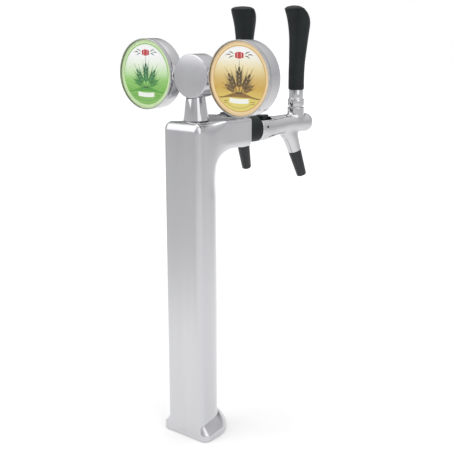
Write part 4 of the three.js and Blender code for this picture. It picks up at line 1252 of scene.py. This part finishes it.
# The floor by distance from the object, as a share of its half size: the paper's colour, the
# painted shade on the paper at the front left, and what the paper gives off near the object and
# behind it
PAPER = greys((0.3, 0.85), (0.7, 0.87))
PAINTED_SHADE_PAPER = greys((0.045, 0.86), (0.07, 0.75), (0.1, 0.65), (0.17, 0.59), (0.33, 0.74))
NEAR_GLOW = greys((0.0, 0.15), (0.05, 0.13), (0.1, 0.02), (0.2, 0.0), (0.5, 0.07))
BACK_GLOW = greys((0.0, 0.15), (0.05, 0.16), (0.1, 0.29), (0.2, 0.42), (0.3, 0.5))


def toward_backdrop(shading, direction):
    """1 in the sector behind the object where the photograph has its white paper, else 0."""
    return shading.span(shading.vector("DOT_PRODUCT", direction, BACKDROP), *BACKDROP_EDGE)


def make_world():
    """A pale room: light overhead, dimmer over the horizon, and white paper behind the object."""
    world = bpy.data.worlds.new("studio")
    bpy.context.scene.world = world
    shading = Shading(world)
    direction = shading.place("Generated")
    x, y, z = (shading.axis(direction, name) for name in "XYZ")
    height = shading.span(z, -1, 1)
    to_right = shading.span(x, *ROOM_RIGHT)
    to_front = shading.number("MULTIPLY", shading.span(y, *ROOM_FRONT), ROOM_FRONT_SHARE)
    room = shading.blend(shading.number("MAXIMUM", to_right, to_front),
                         shading.ramp(height, ROOM), shading.ramp(height, BRIGHT_ROOM))
    low = shading.span(z, *BACKDROP_TOP)
    paper = shading.number("MULTIPLY", low, toward_backdrop(shading, direction))
    shading.fill(shading.nodes["Background"], {"Color": shading.blend(paper, room, (1, 1, 1, 1))})


def soft_light(name, place, size, power):
    data = bpy.data.lights.new(name, "AREA")
    data.shape = "RECTANGLE"
    data.size, data.size_y = size
    data.energy = power
    light = new_object(name, data)
    light.location = place
    aim = Vector(LAMP_AIM) - Vector(place)
    light.rotation_euler = aim.to_track_quat("-Z", "Y").to_euler()


def make_floor():
    """White paper that keeps the shadow. Farther out it shows as pale grey, and as white behind."""
    half = FLOOR_HALF / MM
    low, high = (-half, -half, FLOOR_LOW), (half, half, FLOOR_HIGH)
    floor = block("floor", low, high, Matrix.Identity(4))
    paper, shading, shader = new_surface("floor_paper")
    place = shading.place()
    distance = shading.span(shading.vector("LENGTH", place), 0, FLOOR_HALF)
    direction = shading.vector("NORMALIZE", place)
    to_left = shading.span(shading.axis(direction, "X"), *FLOOR_LEFT)
    to_front = shading.span(shading.axis(direction, "Y"), *FLOOR_FRONT)
    plain = shading.ramp(shading.noise(scale=25, detail=4.0), PAPER)
    # painted shade: the paper is darker at the front left, more so farther from the object, as if
    # less lit there
    painted_shade = shading.ramp(distance, PAINTED_SHADE_PAPER)
    glow = shading.blend(toward_backdrop(shading, direction),
                         shading.ramp(distance, NEAR_GLOW), shading.ramp(distance, BACK_GLOW))
    # The glow is for the camera, mirrors and glass alone, and sheds no light on the object
    rays = shading.add("LightPath", {}).outputs
    seen = rays["Is Camera Ray"]
    for kind in ("Is Glossy Ray", "Is Transmission Ray"):
        seen = shading.number("MAXIMUM", seen, rays[kind])
    shading.fill(shader, {
        "Roughness": 0.9,
        "Specular IOR Level": 0.1,
        # the base colour takes the painted shade at the front left
        "Base Color": shading.blend(shading.number("MULTIPLY", to_left, to_front), plain, painted_shade),
        "Emission Color": (1, 1, 1, 1),
        "Emission Strength": shading.number("MULTIPLY", seen, glow),
    })
    finish_surface(floor, paper)


# Building

make_camera()
make_world()
make_floor()
for lamp in LAMPS:
    soft_light(*lamp)

CAD_FINISH = {row["node"]: row["material_slot"] for row in frame["record"]["subparts"]}
for node, piece in frame["nodes"].items():
    material = MATERIALS.get(CAD_FINISH[node])
    if material:
        for slot in piece.material_slots:
            slot.material = material

make_tower_body()
make_post()
make_hub()
for side_name, side_sign in SIDES.items():
    for make in (make_coupling, make_badge, make_tap_body, make_nozzle, make_collar, make_bonnet,
                 make_lever_seal, make_lever, make_control):
        make(side_name, side_sign)

bpy.context.scene.view_settings.view_transform = "Standard"
